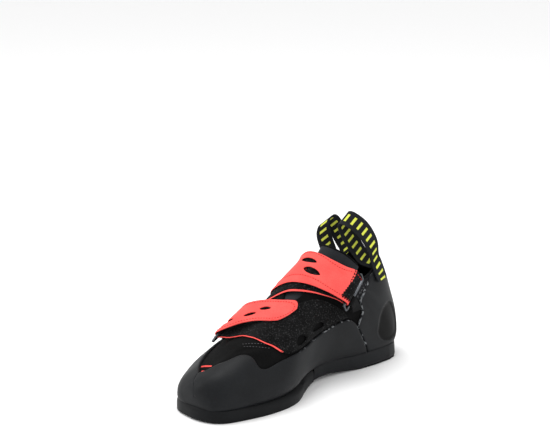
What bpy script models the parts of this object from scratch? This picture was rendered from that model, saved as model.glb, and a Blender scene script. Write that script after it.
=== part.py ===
"""Climbing shoe for the right foot: a slip-lasted upper with a rubber rand and sole,
two hook-and-loop straps that fold round their rings in opposite directions, a tongue
and two webbing pull loops at the heel.

The foot shape is one function of two numbers. A station runs from the tip of the toe
(0) round the instep to the collar (19), as rings fanned like the bones of a sock heel.
A share runs round each ring by girth: 0 under the foot, 1 on the instep ridge, positive
by the inner side and negative by the outer side. Every piece takes its place from it.
The toe points along -Y, the inner side of the foot is +X and the floor is z = 0.
"""
import math

import bpy
import numpy as np
from mathutils import Vector

MM = 0.001

# Driving sizes of the foot shape
LAST_LENGTH = 230 * MM
BALL_WIDTH = 85 * MM
INSTEP_HEIGHT = 100 * MM

# Thickness of each layer, each set by itself
UPPER_WALL = 1.8 * MM
RUBBER = 1.8 * MM
SOLE = 5.0 * MM
INSOLE = 2.0 * MM
TONGUE = 2.4 * MM
STRAP = 1.4 * MM
WEBBING = 1.4 * MM
LAYER_GAP = 0.3 * MM
STRAP_GAP = 0.5 * MM

# Wire, webbing and rim sizes
RING_WIRE = 2.2 * MM
RING_SLACK = 1.2 * MM
LOOP_WIDTH = 14 * MM
SOLE_RIM = 2.0 * MM
HEEL_RIM = 8.0 * MM
SOLE_EDGE = 0.6 * MM

# Height of the underside of the foot above the floor
BASE = SOLE + LAYER_GAP + RUBBER + LAYER_GAP + UPPER_WALL

# Colours
CORAL = (1.0, 0.13, 0.115)
RUBBER_GREY = (0.022, 0.024, 0.028)
BLACK = (0.010, 0.010, 0.012)
FABRIC_GREY = (0.035, 0.038, 0.043)
STEEL = (0.35, 0.36, 0.38)

# Sections. Along the foot is a share of LAST_LENGTH from the heel, height a share of
# INSTEP_HEIGHT, across a share of BALL_WIDTH. The widest height is a share of the
# section's own height, and the last two are a lift and a dip of its middle.
COLUMNS = (
    "top_along", "top_height", "base_along", "base_height", "inner", "outer", "crest",
    "keel", "inner_widest", "outer_widest", "low_square", "inner_dome", "outer_dome",
    "arch", "dip",
)
SECTIONS = {
    "toe tip":     (1.000, .105, 1.000, .105, .060, .060, .060, .060, .45, .45, 2.0, 2.0, 2.00, 0, 0),
    "toe front":   (0.994, .160, 0.998, .045, .155, -.030, .090, .060, .42, .42, 3.2, 2.0, 2.00, 0, 0),
    "toe nail":    (0.977, .200, 0.989, .010, .232, -.165, .120, .050, .38, .36, 4.2, 2.0, 1.85, 0, 0),
    "toe joint":   (0.945, .243, 0.960, .000, .298, -.258, .135, .040, .34, .30, 4.8, 2.0, 1.75, 0, 0),
    "toes":        (0.895, .288, 0.908, .000, .352, -.342, .140, .030, .32, .26, 4.8, 2.0, 1.70, 0, 0),
    "toe roots":   (0.828, .343, 0.838, .000, .408, -.415, .130, .020, .31, .24, 4.6, 1.9, 1.70, 0, 0),
    "ball":        (0.752, .406, 0.760, .000, .438, -.463, .110, .010, .30, .23, 4.4, 1.9, 1.70, 0, 0),
    "behind ball": (0.674, .473, 0.683, .000, .430, -.482, .085, .000, .30, .23, 4.0, 1.9, 1.70, .02, 0),
    "fore arch":   (0.599, .548, 0.600, .003, .362, -.481, .065, -.01, .30, .24, 3.4, 1.9, 1.75, .03, 0),
    "arch":        (0.530, .645, 0.505, .015, .290, -.460, .050, -.02, .30, .25, 3.1, 2.0, 1.85, .04, 0),
    "rear arch":   (0.476, .735, 0.410, .025, .268, -.412, .035, -.02, .30, .26, 3.4, 2.1, 2.00, .03, 0),
    "heel breast": (0.442, .795, 0.315, .020, .272, -.364, .020, -.01, .29, .27, 4.6, 2.2, 2.10, .01, 0),
    "heel front":  (0.422, .832, 0.228, .005, .285, -.321, .015, .000, .28, .28, 5.6, 2.3, 2.20, 0, .003),
    "heel seat":   (0.409, .856, 0.145, .000, .298, -.305, .010, .000, .27, .28, 5.6, 2.4, 2.30, 0, .012),
    "heel corner": (0.399, .873, 0.080, .010, .305, -.305, .010, .000, .28, .28, 5.0, 2.4, 2.40, 0, .026),
    "heel low":    (0.390, .886, 0.036, .078, .305, -.305, .000, .000, .31, .31, 3.2, 2.4, 2.40, 0, .045),
    "heel round":  (0.381, .897, 0.018, .210, .298, -.298, .000, .000, .36, .36, 2.4, 2.4, 2.40, 0, .068),
    "heel back":   (0.372, .907, 0.030, .385, .280, -.280, .000, .000, .40, .40, 2.2, 2.3, 2.30, 0, .096),
    "ankle":       (0.362, .916, 0.060, .585, .260, -.260, .000, .000, .42, .42, 2.2, 2.2, 2.20, 0, .130),
    "collar":      (0.352, .925, 0.094, .775, .240, -.240, .000, .000, .43, .43, 2.2, 2.1, 2.10, 0, .170),
}
# Columns that keep their sign when the rows are mirrored about the tip of the toe
EVEN = ("top_along", "base_along", "inner_widest", "outer_widest", "low_square",
        "inner_dome", "outer_dome", "arch", "dip")
GHOSTS = 3
LAST_STATION = len(SECTIONS) - 1.0
# Near the instep the tongue's rings keep only this share of their dip, so it stands
# above the rim there
TONGUE_DIP = 0.25

# Shared grid: stations along the foot and shares of half a girth
STATIONS = (0, .4, .8, 1.2, 1.6, 2, 2.5, 3, 3.6, 4.2, 4.8, 5.4, 6, 6.6, 7.2, 7.8, 8.4, 9, 9.6,
            10.2, 10.8, 11.4, 12, 12.6, 13.2, 13.7, 14.2, 14.7, 15.2, 15.7, 16.2, 16.8, 17.5,
            18.2, 19)
HALF_SHARES = (0, .09, .17, .23, .29, .37, .46, .55, .64, .73, .82, .91, 1.0)
RING_SHARES = np.array(sorted({s * v for v in HALF_SHARES for s in (1, -1)}))
SHARES = sorted({round(float(v) + w, 4) for v in RING_SHARES for w in (-2, 0, 2) if -1.6 <= v + w <= 1.6})


for old in list(bpy.data.objects):
    bpy.data.objects.remove(old, do_unlink=True)


def spline_rows(rows, ghosts):
    """Rows of a table and the second derivatives of a natural cubic spline through them."""
    values = np.array(rows, float)
    if ghosts:
        mirrored = values[ghosts:0:-1].copy()
        for column, name in enumerate(COLUMNS):
            if name not in EVEN:
                mirrored[:, column] = 2 * values[0, column] - mirrored[:, column]
        values = np.vstack([mirrored, values])
    count = len(values)
    matrix = np.eye(count)
    right = np.zeros_like(values)
    for i in range(1, count - 1):
        matrix[i, i - 1:i + 2] = (1, 4, 1)
        right[i] = 6 * (values[i - 1] - 2 * values[i] + values[i + 1])
    return values, np.linalg.solve(matrix, right)


def spline_at(rows, x):
    """One row read from the spline at x, counted in rows."""
    values, bends = rows
    x = min(max(x, 0), len(values) - 1)
    i = min(int(x), len(values) - 2)
    t = x - i
    return (values[i] * (1 - t) + values[i + 1] * t
            + ((1 - t) ** 3 - (1 - t)) * bends[i] / 6 + (t ** 3 - t) * bends[i + 1] / 6)


FOOT_ROWS = spline_rows(list(SECTIONS.values()), GHOSTS)
QUARTER = math.pi / 2 * np.array([3 * t ** 2 - 2 * t ** 3 for t in np.linspace(0, 1, 25)])
ANGLES = np.concatenate([QUARTER, math.pi - QUARTER[-2::-1]])


def half_section(station, side, dip_share=1.0):
    """Points of half a ring, from under the foot (first) to the instep ridge (last)."""
    station = min(max(station, 0), LAST_STATION)
    r = dict(zip(COLUMNS, spline_at(FOOT_ROWS, station + GHOSTS)))
    inner = side > 0
    low = ANGLES <= math.pi / 2
    reach = r["inner"] if inner else r["outer"]
    widest = r["inner_widest"] if inner else r["outer_widest"]
    power = np.where(low, r["low_square"], r["inner_dome"] if inner else r["outer_dome"])
    sine = np.abs(np.sin(ANGLES)) ** (2 / power)
    sine[0] = sine[-1] = 0
    cosine = np.abs(np.cos(ANGLES)) ** (2 / power)
    up = np.where(low, widest * (1 - cosine), widest + (1 - widest) * cosine)
    middle = np.where(low, r["keel"], r["crest"])
    across = (middle + (reach - middle) * sine) * BALL_WIDTH
    run = (r["top_along"] - r["base_along"]) * LAST_LENGTH
    rise = (r["top_height"] - r["base_height"]) * INSTEP_HEIGHT
    length = math.hypot(run, rise) or 1.0
    upper_half = 1 - (1 + np.minimum(np.cos(ANGLES), 0)) ** 2
    dip = r["dip"] * INSTEP_HEIGHT * np.sin(ANGLES) ** 2 * (1 - np.cos(ANGLES))
    dip *= 1 - (1 - dip_share) * upper_half
    lift = r["arch"] * INSTEP_HEIGHT * np.sin(ANGLES) ** 2 if inner else 0
    along = r["base_along"] * LAST_LENGTH + run * up + dip * rise / length
    height = r["base_height"] * INSTEP_HEIGHT + rise * up - dip * run / length + lift
    return np.stack([across, LAST_LENGTH / 2 - along, BASE + height], 1)


def ring(station, shares, dip_share=1.0):
    """Points of one ring at the given shares of its girth."""
    shares = (np.asarray(shares, float) + 1) % 2 - 1
    points = np.zeros((len(shares), 3))
    for side in (1, -1):
        half = half_section(station, side, dip_share)
        steps = np.linalg.norm(np.diff(half, axis=0), axis=1)
        walked = np.concatenate([[0], np.cumsum(steps)])
        walked = walked / walked[-1] if walked[-1] > 0 else np.linspace(0, 1, len(walked))
        pick = shares >= 0 if side > 0 else shares < 0
        for axis in range(3):
            points[pick, axis] = np.interp(np.abs(shares[pick]), walked, half[:, axis])
    return points


def ring_normals(station, shares, dip_share=1.0):
    """Directions out of the foot at points of one ring."""
    if station < 1e-6:
        return np.tile((0.0, -1.0, 0.0), (len(shares), 1))
    before = ring(max(station - 0.02, 1e-3), shares, dip_share)
    after = ring(min(station + 0.02, LAST_STATION), shares, dip_share)
    below = ring(station, shares - 0.004, dip_share)
    above = ring(station, shares + 0.004, dip_share)
    normals = np.cross(after - before, above - below)
    return normals / np.linalg.norm(normals, axis=1, keepdims=True)


def shared_grid(dip_share):
    """Points and outward directions at every shared station and share."""
    points = np.array([ring(s, RING_SHARES, dip_share) for s in STATIONS])
    normals = np.array([ring_normals(s, RING_SHARES, dip_share) for s in STATIONS])
    points[:, -1] = points[:, 0]
    normals[:, -1] = normals[:, 0]
    return points, normals


GRIDS = {}


def foot(station, shares, offset=0.0, dip_share=1.0):
    """Points pushed out of the smooth foot surface by an offset."""
    shares = np.atleast_1d(np.asarray(shares, float))
    station = min(max(station, 0), LAST_STATION)
    return ring(station, shares, dip_share) + ring_normals(station, shares, dip_share) * offset


def foot_flats(station, shares, offset=0.0, dip_share=1.0):
    """The same, on the triangles between the shared grid's points, so that layers nest
    with an even gap however their edges are cut."""
    if dip_share not in GRIDS:
        GRIDS[dip_share] = shared_grid(dip_share)
    points, normals = GRIDS[dip_share]
    surface = points + normals * offset
    station = min(max(station, 0), LAST_STATION)
    row = min(int(np.searchsorted(STATIONS, station, "right")) - 1, len(STATIONS) - 2)
    t = (station - STATIONS[row]) / (STATIONS[row + 1] - STATIONS[row])
    out = []
    for share in np.atleast_1d(np.asarray(shares, float)):
        share = round(float((share + 1) % 2 - 1), 9)
        column = min(int(np.searchsorted(RING_SHARES, share, "right")) - 1, len(RING_SHARES) - 2)
        u = (share - RING_SHARES[column]) / (RING_SHARES[column + 1] - RING_SHARES[column])
        a = surface[row, column]
        b = surface[row + 1, column]
        c = surface[row + 1, column + 1]
        d = surface[row, column + 1]
        out.append(a + t * (b - a) + u * (c - b) if t >= u else a + u * (d - a) + t * (c - d))
    return np.array(out)


def graded(limits, x):
    """A smooth value read from a short table of (x, value) rows."""
    xs = [row[0] for row in limits]
    ys = [row[1] for row in limits]
    return float(np.interp(x, xs, ys))


def stations_between(low, high, extra=()):
    """The shared stations in a range, with its own two ends and any extra rows."""
    inside = [s for s in (*STATIONS, *extra) if low + 0.15 < s < high - 0.15]
    return sorted({low, high, *inside})


def snapped(share):
    """A share moved onto the nearest shared one where that is close."""
    nearest = min(SHARES, key=lambda v: abs(v - share))
    return nearest if abs(nearest - share) < 0.012 else share


def cut_polygon(polygon, level):
    """The part of a polygon where a linear function of station and share is not positive."""
    kept = []
    for here, there in zip(polygon, polygon[1:] + polygon[:1]):
        a = level(*here)
        b = level(*there)
        if a <= 0:
            kept.append(here)
        if (a < 0 < b) or (b < 0 < a):
            t = a / (a - b)
            kept.append((here[0] + (there[0] - here[0]) * t, here[1] + (there[1] - here[1]) * t))
    return kept


def add_vertex(vertices, place):
    """Index of a place among the sheet's vertices, welded to one that is very close."""
    station, share = place
    share = (share + 1) % 2 - 1
    if share > 1 - 1e-6:
        share = -1.0
    if station < 1e-6:
        station, share = 0.0, 0.0
    for index in range(len(vertices) - 1, -1, -1):
        if abs(vertices[index][0] - station) < 0.004 and abs(vertices[index][1] - share) < 0.001:
            return index
    vertices.append((station, share))
    return len(vertices) - 1


def sheet_of(spans):
    """Vertices (station, share) and triangles of a sheet on the shared grid. Each span has
    its stations and its lower and upper share limits as functions of the station."""
    vertices = []
    triangles = []
    for stations, low, high in spans:
        rows = sorted({*stations, *(s for s in STATIONS if stations[0] < s < stations[-1])})
        for s0, s1 in zip(rows[:-1], rows[1:]):
            l0, l1, h0, h1 = snapped(low(s0)), snapped(low(s1)), snapped(high(s0)), snapped(high(s1))
            row = max(k for k in range(len(STATIONS) - 1) if STATIONS[k] <= s0 + 1e-9)
            r0, r1 = STATIONS[row], STATIONS[row + 1]
            levels = (
                lambda s, v: s0 - s,
                lambda s, v: s - s1,
                lambda s, v: l0 + (l1 - l0) * (s - s0) / (s1 - s0) - v,
                lambda s, v: v - h0 - (h1 - h0) * (s - s0) / (s1 - s0),
            )
            for v0, v1 in zip(SHARES[:-1], SHARES[1:]):
                if v1 <= min(l0, l1) or v0 >= max(h0, h1):
                    continue
                for corners in ([(r0, v0), (r1, v0), (r1, v1)], [(r0, v0), (r1, v1), (r0, v1)]):
                    polygon = corners
                    for level in levels:
                        polygon = cut_polygon(polygon, level) if polygon else polygon
                    ids = []
                    for place in polygon:
                        index = add_vertex(vertices, place)
                        if index not in ids:
                            ids.append(index)
                    for k in range(1, len(ids) - 1):
                        triangles.append((ids[0], ids[k], ids[k + 1]))
    return vertices, triangles


def value_at(size, station):
    return size(station) if callable(size) else size


def layer_mesh(name, spans, inner, outer, dip_share=1.0):
    """A closed layer between two offsets from the foot, over the given spans."""
    vertices, triangles = sheet_of(spans)
    top = [foot_flats(s, v, value_at(outer, s), dip_share)[0] for s, v in vertices]
    bottom = [foot_flats(s, v, value_at(inner, s), dip_share)[0] for s, v in vertices]
    return closed_mesh(name, top, bottom, triangles)


def make_material(name, colour, roughness, metallic=0.0):
    material = bpy.data.materials.new(name)
    material.use_nodes = True
    shader = material.node_tree.nodes["Principled BSDF"]
    shader.inputs["Base Color"].default_value = (*colour, 1.0)
    shader.inputs["Roughness"].default_value = roughness
    shader.inputs["Metallic"].default_value = metallic
    return material


def add_object(name, mesh, colour, roughness=0.7, metallic=0.0, sharp=35):
    """Put a mesh in the scene as a named piece with its own material."""
    mesh.shade_smooth()
    mesh.set_sharp_from_angle(angle=math.radians(sharp))
    piece = bpy.data.objects.new(name, mesh)
    piece.data.materials.append(make_material(name + "_material", colour, roughness, metallic))
    bpy.context.scene.collection.objects.link(piece)
    return piece


def closed_mesh(name, top, bottom, triangles, ledge=None):
    """One closed body between two sheets that share their triangles, walled at the edges.
    The wall turns at the ledge points where they are given."""
    directed = {(f[k], f[(k + 1) % 3]) for f in triangles for k in range(3)}
    count = len(top)
    levels = [top, bottom] if ledge is None else [top, ledge, bottom]
    last = count * (len(levels) - 1)
    faces = list(triangles)
    faces += [(c + last, b + last, a + last) for a, b, c in triangles]
    for a, b in sorted(directed):
        if (b, a) not in directed:
            for level in range(0, last, count):
                faces.append((b + level, a + level, a + level + count))
                faces.append((b + level, a + level + count, b + level + count))
    used = sorted({index for face in faces for index in face})
    order = {index: k for k, index in enumerate(used)}
    places = [point for level in levels for point in level]
    mesh = bpy.data.meshes.new(name)
    mesh.from_pydata([tuple(places[k]) for k in used], [], [tuple(order[k] for k in face) for face in faces])
    mesh.validate()
    mesh.update()
    return mesh


def sheet_mesh(name, centre, thickness):
    """One closed body of even thickness about a grid of centre points."""
    along = np.gradient(centre, axis=0)
    across = np.gradient(centre, axis=1)
    normals = np.cross(along, across)
    normals /= np.linalg.norm(normals, axis=2, keepdims=True)
    rows, columns = centre.shape[:2]
    triangles = []
    for i in range(rows - 1):
        for j in range(columns - 1):
            a = i * columns + j
            triangles.append((a, a + columns, a + columns + 1))
            triangles.append((a, a + columns + 1, a + 1))
    top = (centre + normals * thickness / 2).reshape(-1, 3)
    bottom = (centre - normals * thickness / 2).reshape(-1, 3)
    return closed_mesh(name, top, bottom, triangles)


# Upper: one hollow body, open at the collar, along the throat and underneath

# Share at which the bottom opening ends, and share at which the throat begins
BOTTOM_OPENING = ((1.6, 0), (2.5, .10), (4, .17), (8, .19), (10, .16), (13, .15), (14.2, .10), (14.7, 0))
THROAT = ((8.2, 1.0), (9, .93), (10, .90), (12, .86), (15, .80), (17, .74), (19, .66))


def bottom_opening(station):
    return graded(BOTTOM_OPENING, station)


def throat(station):
    return graded(THROAT, station)


upper_stations = stations_between(0, LAST_STATION, (1.6, 2.5, 8.2, 14.7))
upper_spans = [
    (upper_stations, bottom_opening, throat),
    (upper_stations, lambda s: -throat(s), lambda s: -bottom_opening(s)),
]
add_object("upper", layer_mesh("upper", upper_spans, 0.0, UPPER_WALL), BLACK, 0.85)

# Insole: lies inside over the bottom opening

INSOLE_STATIONS = (1.2, 14.8)
INSOLE_LAP = 0.05
insole_top = -LAYER_GAP - INSOLE


def insole_share(station):
    return graded(((1.2, .06), (2.5, .18), (8, .24), (13, .21), (14.8, .05)), station)


insole_span = (stations_between(*INSOLE_STATIONS), lambda s: -insole_share(s), insole_share)
add_object("insole", layer_mesh("insole", [insole_span], insole_top, -LAYER_GAP), FABRIC_GREY, 0.9)

# Tongue: under the throat edges, standing above the rim at the ankle

TONGUE_STATIONS = (7.4, LAST_STATION)


def tongue_share(station):
    return graded(((7.4, .93), (8.2, .88), (10, .80), (13, .72), (16, .64), (19, .56)), station)


def tongue_tuck(station):
    return graded(((11, 0), (13, .9), (15, 2.3), (16, 2.8), (17, 2.4), (19, 1.4)), station) * UPPER_WALL


# Beyond the throat the tongue's end runs on past the rim by this length, in this direction
TONGUE_REACH = 7.5 * MM
TONGUE_WAY = np.array((0.0, 0.60, 0.80))


def tongue_reach(station):
    return graded(((15.2, 0), (16.2, .06), (16.8, .2), (17.5, .45), (18.2, .72), (19, 1)), station) * TONGUE_REACH


tongue_stations = stations_between(*TONGUE_STATIONS)
tongue_vertices, tongue_triangles = sheet_of([(tongue_stations, tongue_share, lambda s: 2 - tongue_share(s))])
tongue_top = [foot_flats(s, v, -LAYER_GAP - tongue_tuck(s), TONGUE_DIP)[0] + TONGUE_WAY * tongue_reach(s)
              for s, v in tongue_vertices]
tongue_bottom = [foot_flats(s, v, -LAYER_GAP - TONGUE - tongue_tuck(s), TONGUE_DIP)[0] + TONGUE_WAY * tongue_reach(s)
                 for s, v in tongue_vertices]
add_object("tongue", closed_mesh("tongue", tongue_top, tongue_bottom, tongue_triangles), FABRIC_GREY, 0.9)

# Rand: rubber round the toe with its patch, and a second piece round the heel

RAND_INSIDE = UPPER_WALL + LAYER_GAP
RAND_OUTSIDE = RAND_INSIDE + RUBBER
RAND_SEAM = 12.15
SEAM_GAP = 0.06
# Top edge of the toe rand, inner and outer side
RAND_INNER = ((2.7, 1.20), (3.1, 1.11), (3.6, 1.07), (4.0, 1.02), (4.4, .98), (4.75, .95), (5.0, .91),
              (5.15, .78), (5.3, .70), (5.55, .68), (6.0, .68), (7.0, .64), (8.2, .59), (9.0, .55),
              (10.0, .52), (11.8, .51), (12.15, .45))
RAND_OUTER = ((2.7, -.80), (3.6, -.72), (4.2, -.68), (6.0, -.62), (8.0, -.56), (10.0, -.52), (11.8, -.50),
              (12.15, -.45))
HEEL_RAND = ((12.15, .44), (12.7, .49), (13.4, .54), (14.0, .60), (14.5, .62),
             (15.5, .61), (16.5, .58), (17.5, .52), (18.4, .45), (19.0, .40))


front_rand_span = (
    stations_between(0, RAND_SEAM - SEAM_GAP / 2, (2.7, 5.0, 5.15, 5.25)),
    lambda s: graded(RAND_OUTER, s),
    lambda s: graded(RAND_INNER, s),
)
add_object("front_rand", layer_mesh("front_rand", [front_rand_span], RAND_INSIDE, RAND_OUTSIDE), RUBBER_GREY, 0.5)

heel_rand_span = (
    stations_between(RAND_SEAM + SEAM_GAP / 2, LAST_STATION - 0.05),
    lambda s: -graded(HEEL_RAND, s),
    lambda s: graded(HEEL_RAND, s),
)
add_object("heel_rand", layer_mesh("heel_rand", [heel_rand_span], RAND_INSIDE, RAND_OUTSIDE), RUBBER_GREY, 0.5)

# Soles: a half sole under the forefoot and a sole under the arch and heel

SOLE_TOP = RAND_OUTSIDE + LAYER_GAP
FRONT_SOLE_END = 9.0
HEEL_SOLE_START = 9.1
# How far a sole's rim reaches out to the rand's outline in plan, by station
RIM_REACH = ((0, 1), (6.0, 1), (7.2, .8), (8.4, .35), (9.0, .15), (9.1, 0), (11, 0), (12.5, 1))
# Height of the upright part of the sole's edge, as a share of the edge's own height
SOLE_LEDGE = 0.57
# Height of the sole's underside above the floor, as a share of SOLE, along the foot
SOLE_SPRING = ((0.00, 1.2), (0.02, .5), (0.05, .05), (0.08, 0), (0.26, 0), (0.33, .35), (0.40, .75),
               (0.47, .80), (0.54, .35), (0.60, 0), (0.93, 0), (0.97, .04), (1.0, .16), (1.05, .4))


def underside(y):
    along = (LAST_LENGTH / 2 - y) / LAST_LENGTH
    xs = [row[0] for row in SOLE_SPRING]
    ys = [row[1] for row in SOLE_SPRING]
    return float(np.interp(along, xs, ys)) * SOLE


def rim_height(station):
    """How far the sole reaches up the rand: a low rim in front, a higher one round the heel."""
    return SOLE_RIM + (HEEL_RIM - SOLE_RIM) * graded(((9, 0), (10.2, .35), (12, 1)), station)


def sole_edge_share(station, side):
    """Share at which the rand's surface reaches the top of the sole's rim, or 0 if it is above."""
    shares = np.linspace(0, 0.45, 91)
    points = foot_flats(station, shares * side, SOLE_TOP)
    rim = SOLE + rim_height(station)
    above = [p[2] - underside(p[1]) - rim for p in points]
    if above[0] >= 0:
        return 0.0
    for k in range(1, len(above)):
        if above[k] >= 0:
            t = above[k - 1] / (above[k - 1] - above[k])
            return float(shares[k - 1] + t * (shares[k] - shares[k - 1]))
    return float(shares[-1])


def sole_limit(with_sole, without):
    """Station between two where the sole's rim runs out, found by halving."""
    for _ in range(30):
        middle = (with_sole + without) / 2
        if sole_edge_share(middle, 1) > 0:
            with_sole = middle
        else:
            without = middle
    return with_sole


def widest_outline(stations):
    """Plan of the rand's widest line, round the toe from the outer to the inner side."""
    sides = {1: [], -1: []}
    for station in stations:
        for side in (1, -1):
            points = foot(station, np.linspace(0.05, 0.75, 60) * side, RAND_OUTSIDE + SOLE_EDGE)
            sides[side].append(points[np.argmax(points[:, 0] * side)][:2])
    return np.array(sides[-1][::-1] + sides[1])


def heel_outline(stations, height):
    """Plan of the heel's rubber below a height, as a closed convex line."""
    points = np.vstack([foot(s, np.linspace(-0.5, 0.5, 61), RAND_OUTSIDE + SOLE_EDGE) for s in stations])
    points = sorted({(round(p[0], 6), round(p[1], 6)) for p in points if p[2] < height})
    line = []
    for run in (points, points[::-1]):
        side = []
        for point in run:
            while len(side) > 1:
                a = np.subtract(side[-1], side[-2])
                b = np.subtract(point, side[-2])
                if a[0] * b[1] - a[1] * b[0] > 0:
                    break
                side.pop()
            side.append(point)
        line += side[:-1]
    return np.array([*line, line[0]])


def nearest_on(line, point):
    best = None
    for a, b in zip(line[:-1], line[1:]):
        step = b - a
        t = np.clip(np.dot(point - a, step) / max(np.dot(step, step), 1e-12), 0, 1)
        spot = a + step * t
        gap = np.linalg.norm(point - spot)
        if best is None or gap < best[0]:
            best = (gap, spot)
    return best[1]


def sole_mesh(name, stations, outline):
    """A sole between the rand's underside and the floor line. The rim reaches out to the
    outline where one is given."""
    edges = {side: [sole_edge_share(s, side) for s in stations] for side in (1, -1)}
    reach = {side: np.zeros((len(stations), 2)) for side in (1, -1)}
    for side in (1, -1):
        for k, station in enumerate(stations):
            rim = foot_flats(station, edges[side][k] * side, SOLE_TOP)[0][:2]
            if outline is not None:
                reach[side][k] = (nearest_on(outline, rim) - rim) * graded(RIM_REACH, station)
    span = (
        stations,
        lambda s: -float(np.interp(s, stations, edges[-1])),
        lambda s: float(np.interp(s, stations, edges[1])),
    )
    vertices, triangles = sheet_of([span])
    tops = []
    ledges = []
    bottoms = []
    for station, share in vertices:
        side = 1 if share >= 0 else -1
        edge = float(np.interp(station, stations, edges[side]))
        weight = min(abs(share) / edge, 1.0) ** 3 if edge > 1e-6 else 1.0
        shift = [weight * float(np.interp(station, stations, reach[side][:, axis])) for axis in (0, 1)]
        top = foot_flats(station, share, SOLE_TOP)[0]
        tops.append(top)
        x = top[0] + shift[0]
        y = top[1] + shift[1]
        floor = underside(y)
        bottoms.append((x, y, floor))
        ledges.append((x, y, floor + (top[2] - floor) * SOLE_LEDGE))
    return closed_mesh(name, bottoms, tops, triangles, ledges)


toe_start = sole_limit(3.0, 0.8)
front_sole_stations = sorted({toe_start, toe_start + .04, toe_start + .14, FRONT_SOLE_END}
                             | {s for s in STATIONS if toe_start + .2 < s < FRONT_SOLE_END - 0.1})
plan = widest_outline((0, .2, .4, .6, .8, 1, 1.3, 1.6, 2, 2.5, 3, 3.6, 4.2, 4.8, 5.4, 6, 6.6, 7.2, 7.8, 8.4, 9, 9.6))
front_sole = sole_mesh("front_sole", front_sole_stations, plan)
add_object("front_sole", front_sole, RUBBER_GREY, 0.6)

heel_end = sole_limit(13.0, 16.5)
heel_plan = heel_outline((11, 11.5, 12, 12.5, 13, 13.5, 14, 14.5, 15, 15.5, 16), BASE + HEEL_RIM)
heel_sole_stations = sorted({HEEL_SOLE_START, heel_end - .14, heel_end - .04, heel_end}
                            | {s for s in STATIONS if HEEL_SOLE_START + .3 < s < heel_end - .2})
add_object("heel_sole", sole_mesh("heel_sole", heel_sole_stations, heel_plan), RUBBER_GREY, 0.6)

# Straps: each lies on the upper, turns round the bar of its ring and comes back over itself

FOLD_RADIUS = RING_WIRE / 2 + STRAP_GAP + STRAP / 2
STRAP_REST = UPPER_WALL + STRAP_GAP + STRAP / 2
OVER_REST = STRAP_REST + STRAP + STRAP_GAP
LOWER_LIFT = 5.5 * MM
UPPER_LIFT = 5.0 * MM
FOLD_STEPS = 6
# Share of the girth, lift as a share of the fold's own, front edge and rear edge as stations
LOWER_UNDER = (
    (.53, 0, 10.2, 11.7), (.56, 0, 9.3, 11.65), (.60, 0, 8.35, 11.5), (.64, 0, 7.4, 11.2),
    (.67, 0, 6.85, 10.95), (.70, 0, 6.6, 10.7), (.75, 0, 6.40, 10.3), (.80, 0, 6.28, 9.85),
    (.86, 0, 6.12, 9.2), (.92, 0, 6.03, 8.6), (.98, 0, 6.0, 8.4), (1.04, 0, 6.0, 8.35),
    (1.10, .02, 6.02, 8.3), (1.16, .15, 5.9, 8.2), (1.21, .5, 5.75, 8.1), (1.25, 1.0, 5.62, 8.0),
)
LOWER_OVER = (
    (1.21, .92, 5.85, 8.05), (1.16, .70, 6.25, 8.15), (1.10, .35, 6.7, 8.3), (1.04, .10, 6.95, 8.4),
    (.99, 0, 7.08, 8.5), (.95, 0, 7.2, 8.65), (.92, 0, 7.35, 8.8), (.90, 0, 7.6, 8.85),
    (.885, 0, 7.95, 8.8), (.875, 0, 8.25, 8.65),
)
UPPER_UNDER = (
    (1.44, 0, 9.6, 13.0), (1.36, 0, 9.2, 13.3), (1.28, 0, 8.9, 13.7), (1.20, 0, 8.75, 14.2),
    (1.12, 0, 8.85, 14.7), (1.05, 0, 9.05, 15.1), (.98, 0, 9.2, 15.4), (.91, .03, 9.5, 15.8),
    (.84, .15, 9.95, 16.2), (.77, .45, 10.5, 16.7), (.71, .85, 11.1, 17.1), (.67, 1.0, 11.5, 17.4),
)
UPPER_OVER = (
    (.71, .92, 11.2, 17.2), (.77, .60, 10.75, 16.9), (.84, .28, 10.3, 16.5), (.91, .08, 9.95, 16.1),
    (.98, 0, 9.7, 15.8), (1.05, 0, 9.6, 15.5), (1.12, 0, 9.5, 15.1), (1.20, 0, 9.45, 14.7),
    (1.28, 0, 9.6, 14.2), (1.34, 0, 9.9, 13.7), (1.37, 0, 10.3, 13.3),
)


def half_girth(station, side):
    half = half_section(station, side)
    return float(np.linalg.norm(np.diff(half, axis=0), axis=1).sum())


def line_between(start, end, columns):
    return start + (end - start) * np.linspace(0, 1, columns)[:, None]


def strap_row(share, height, front, rear, columns, straight=0.0):
    """Points across a strap at one share, on the foot or drawn towards a straight line."""
    stations = np.linspace(front, rear, columns)
    curved = np.array([foot(s, share, height)[0] for s in stations])
    return curved * (1 - straight) + line_between(curved[0], curved[-1], columns) * straight


def fold_bar(under, lift, turn):
    """The straight line a strap folds round: its ends, the way out of the foot and the
    way the fold points."""
    share, _, front, rear = under[-1]
    height = STRAP_REST + lift + FOLD_RADIUS
    start = foot(front, share, height)[0]
    end = foot(rear, share, height)[0]
    along = (end - start) / np.linalg.norm(end - start)
    middle = (front + rear) / 2
    ahead = foot(middle, share + 0.05 * turn, height)[0] - foot(middle, share - 0.05 * turn, height)[0]
    out = np.cross(along, ahead) * turn
    out /= np.linalg.norm(out)
    ahead = np.cross(out, along) * turn
    return start, end, out, ahead


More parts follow.
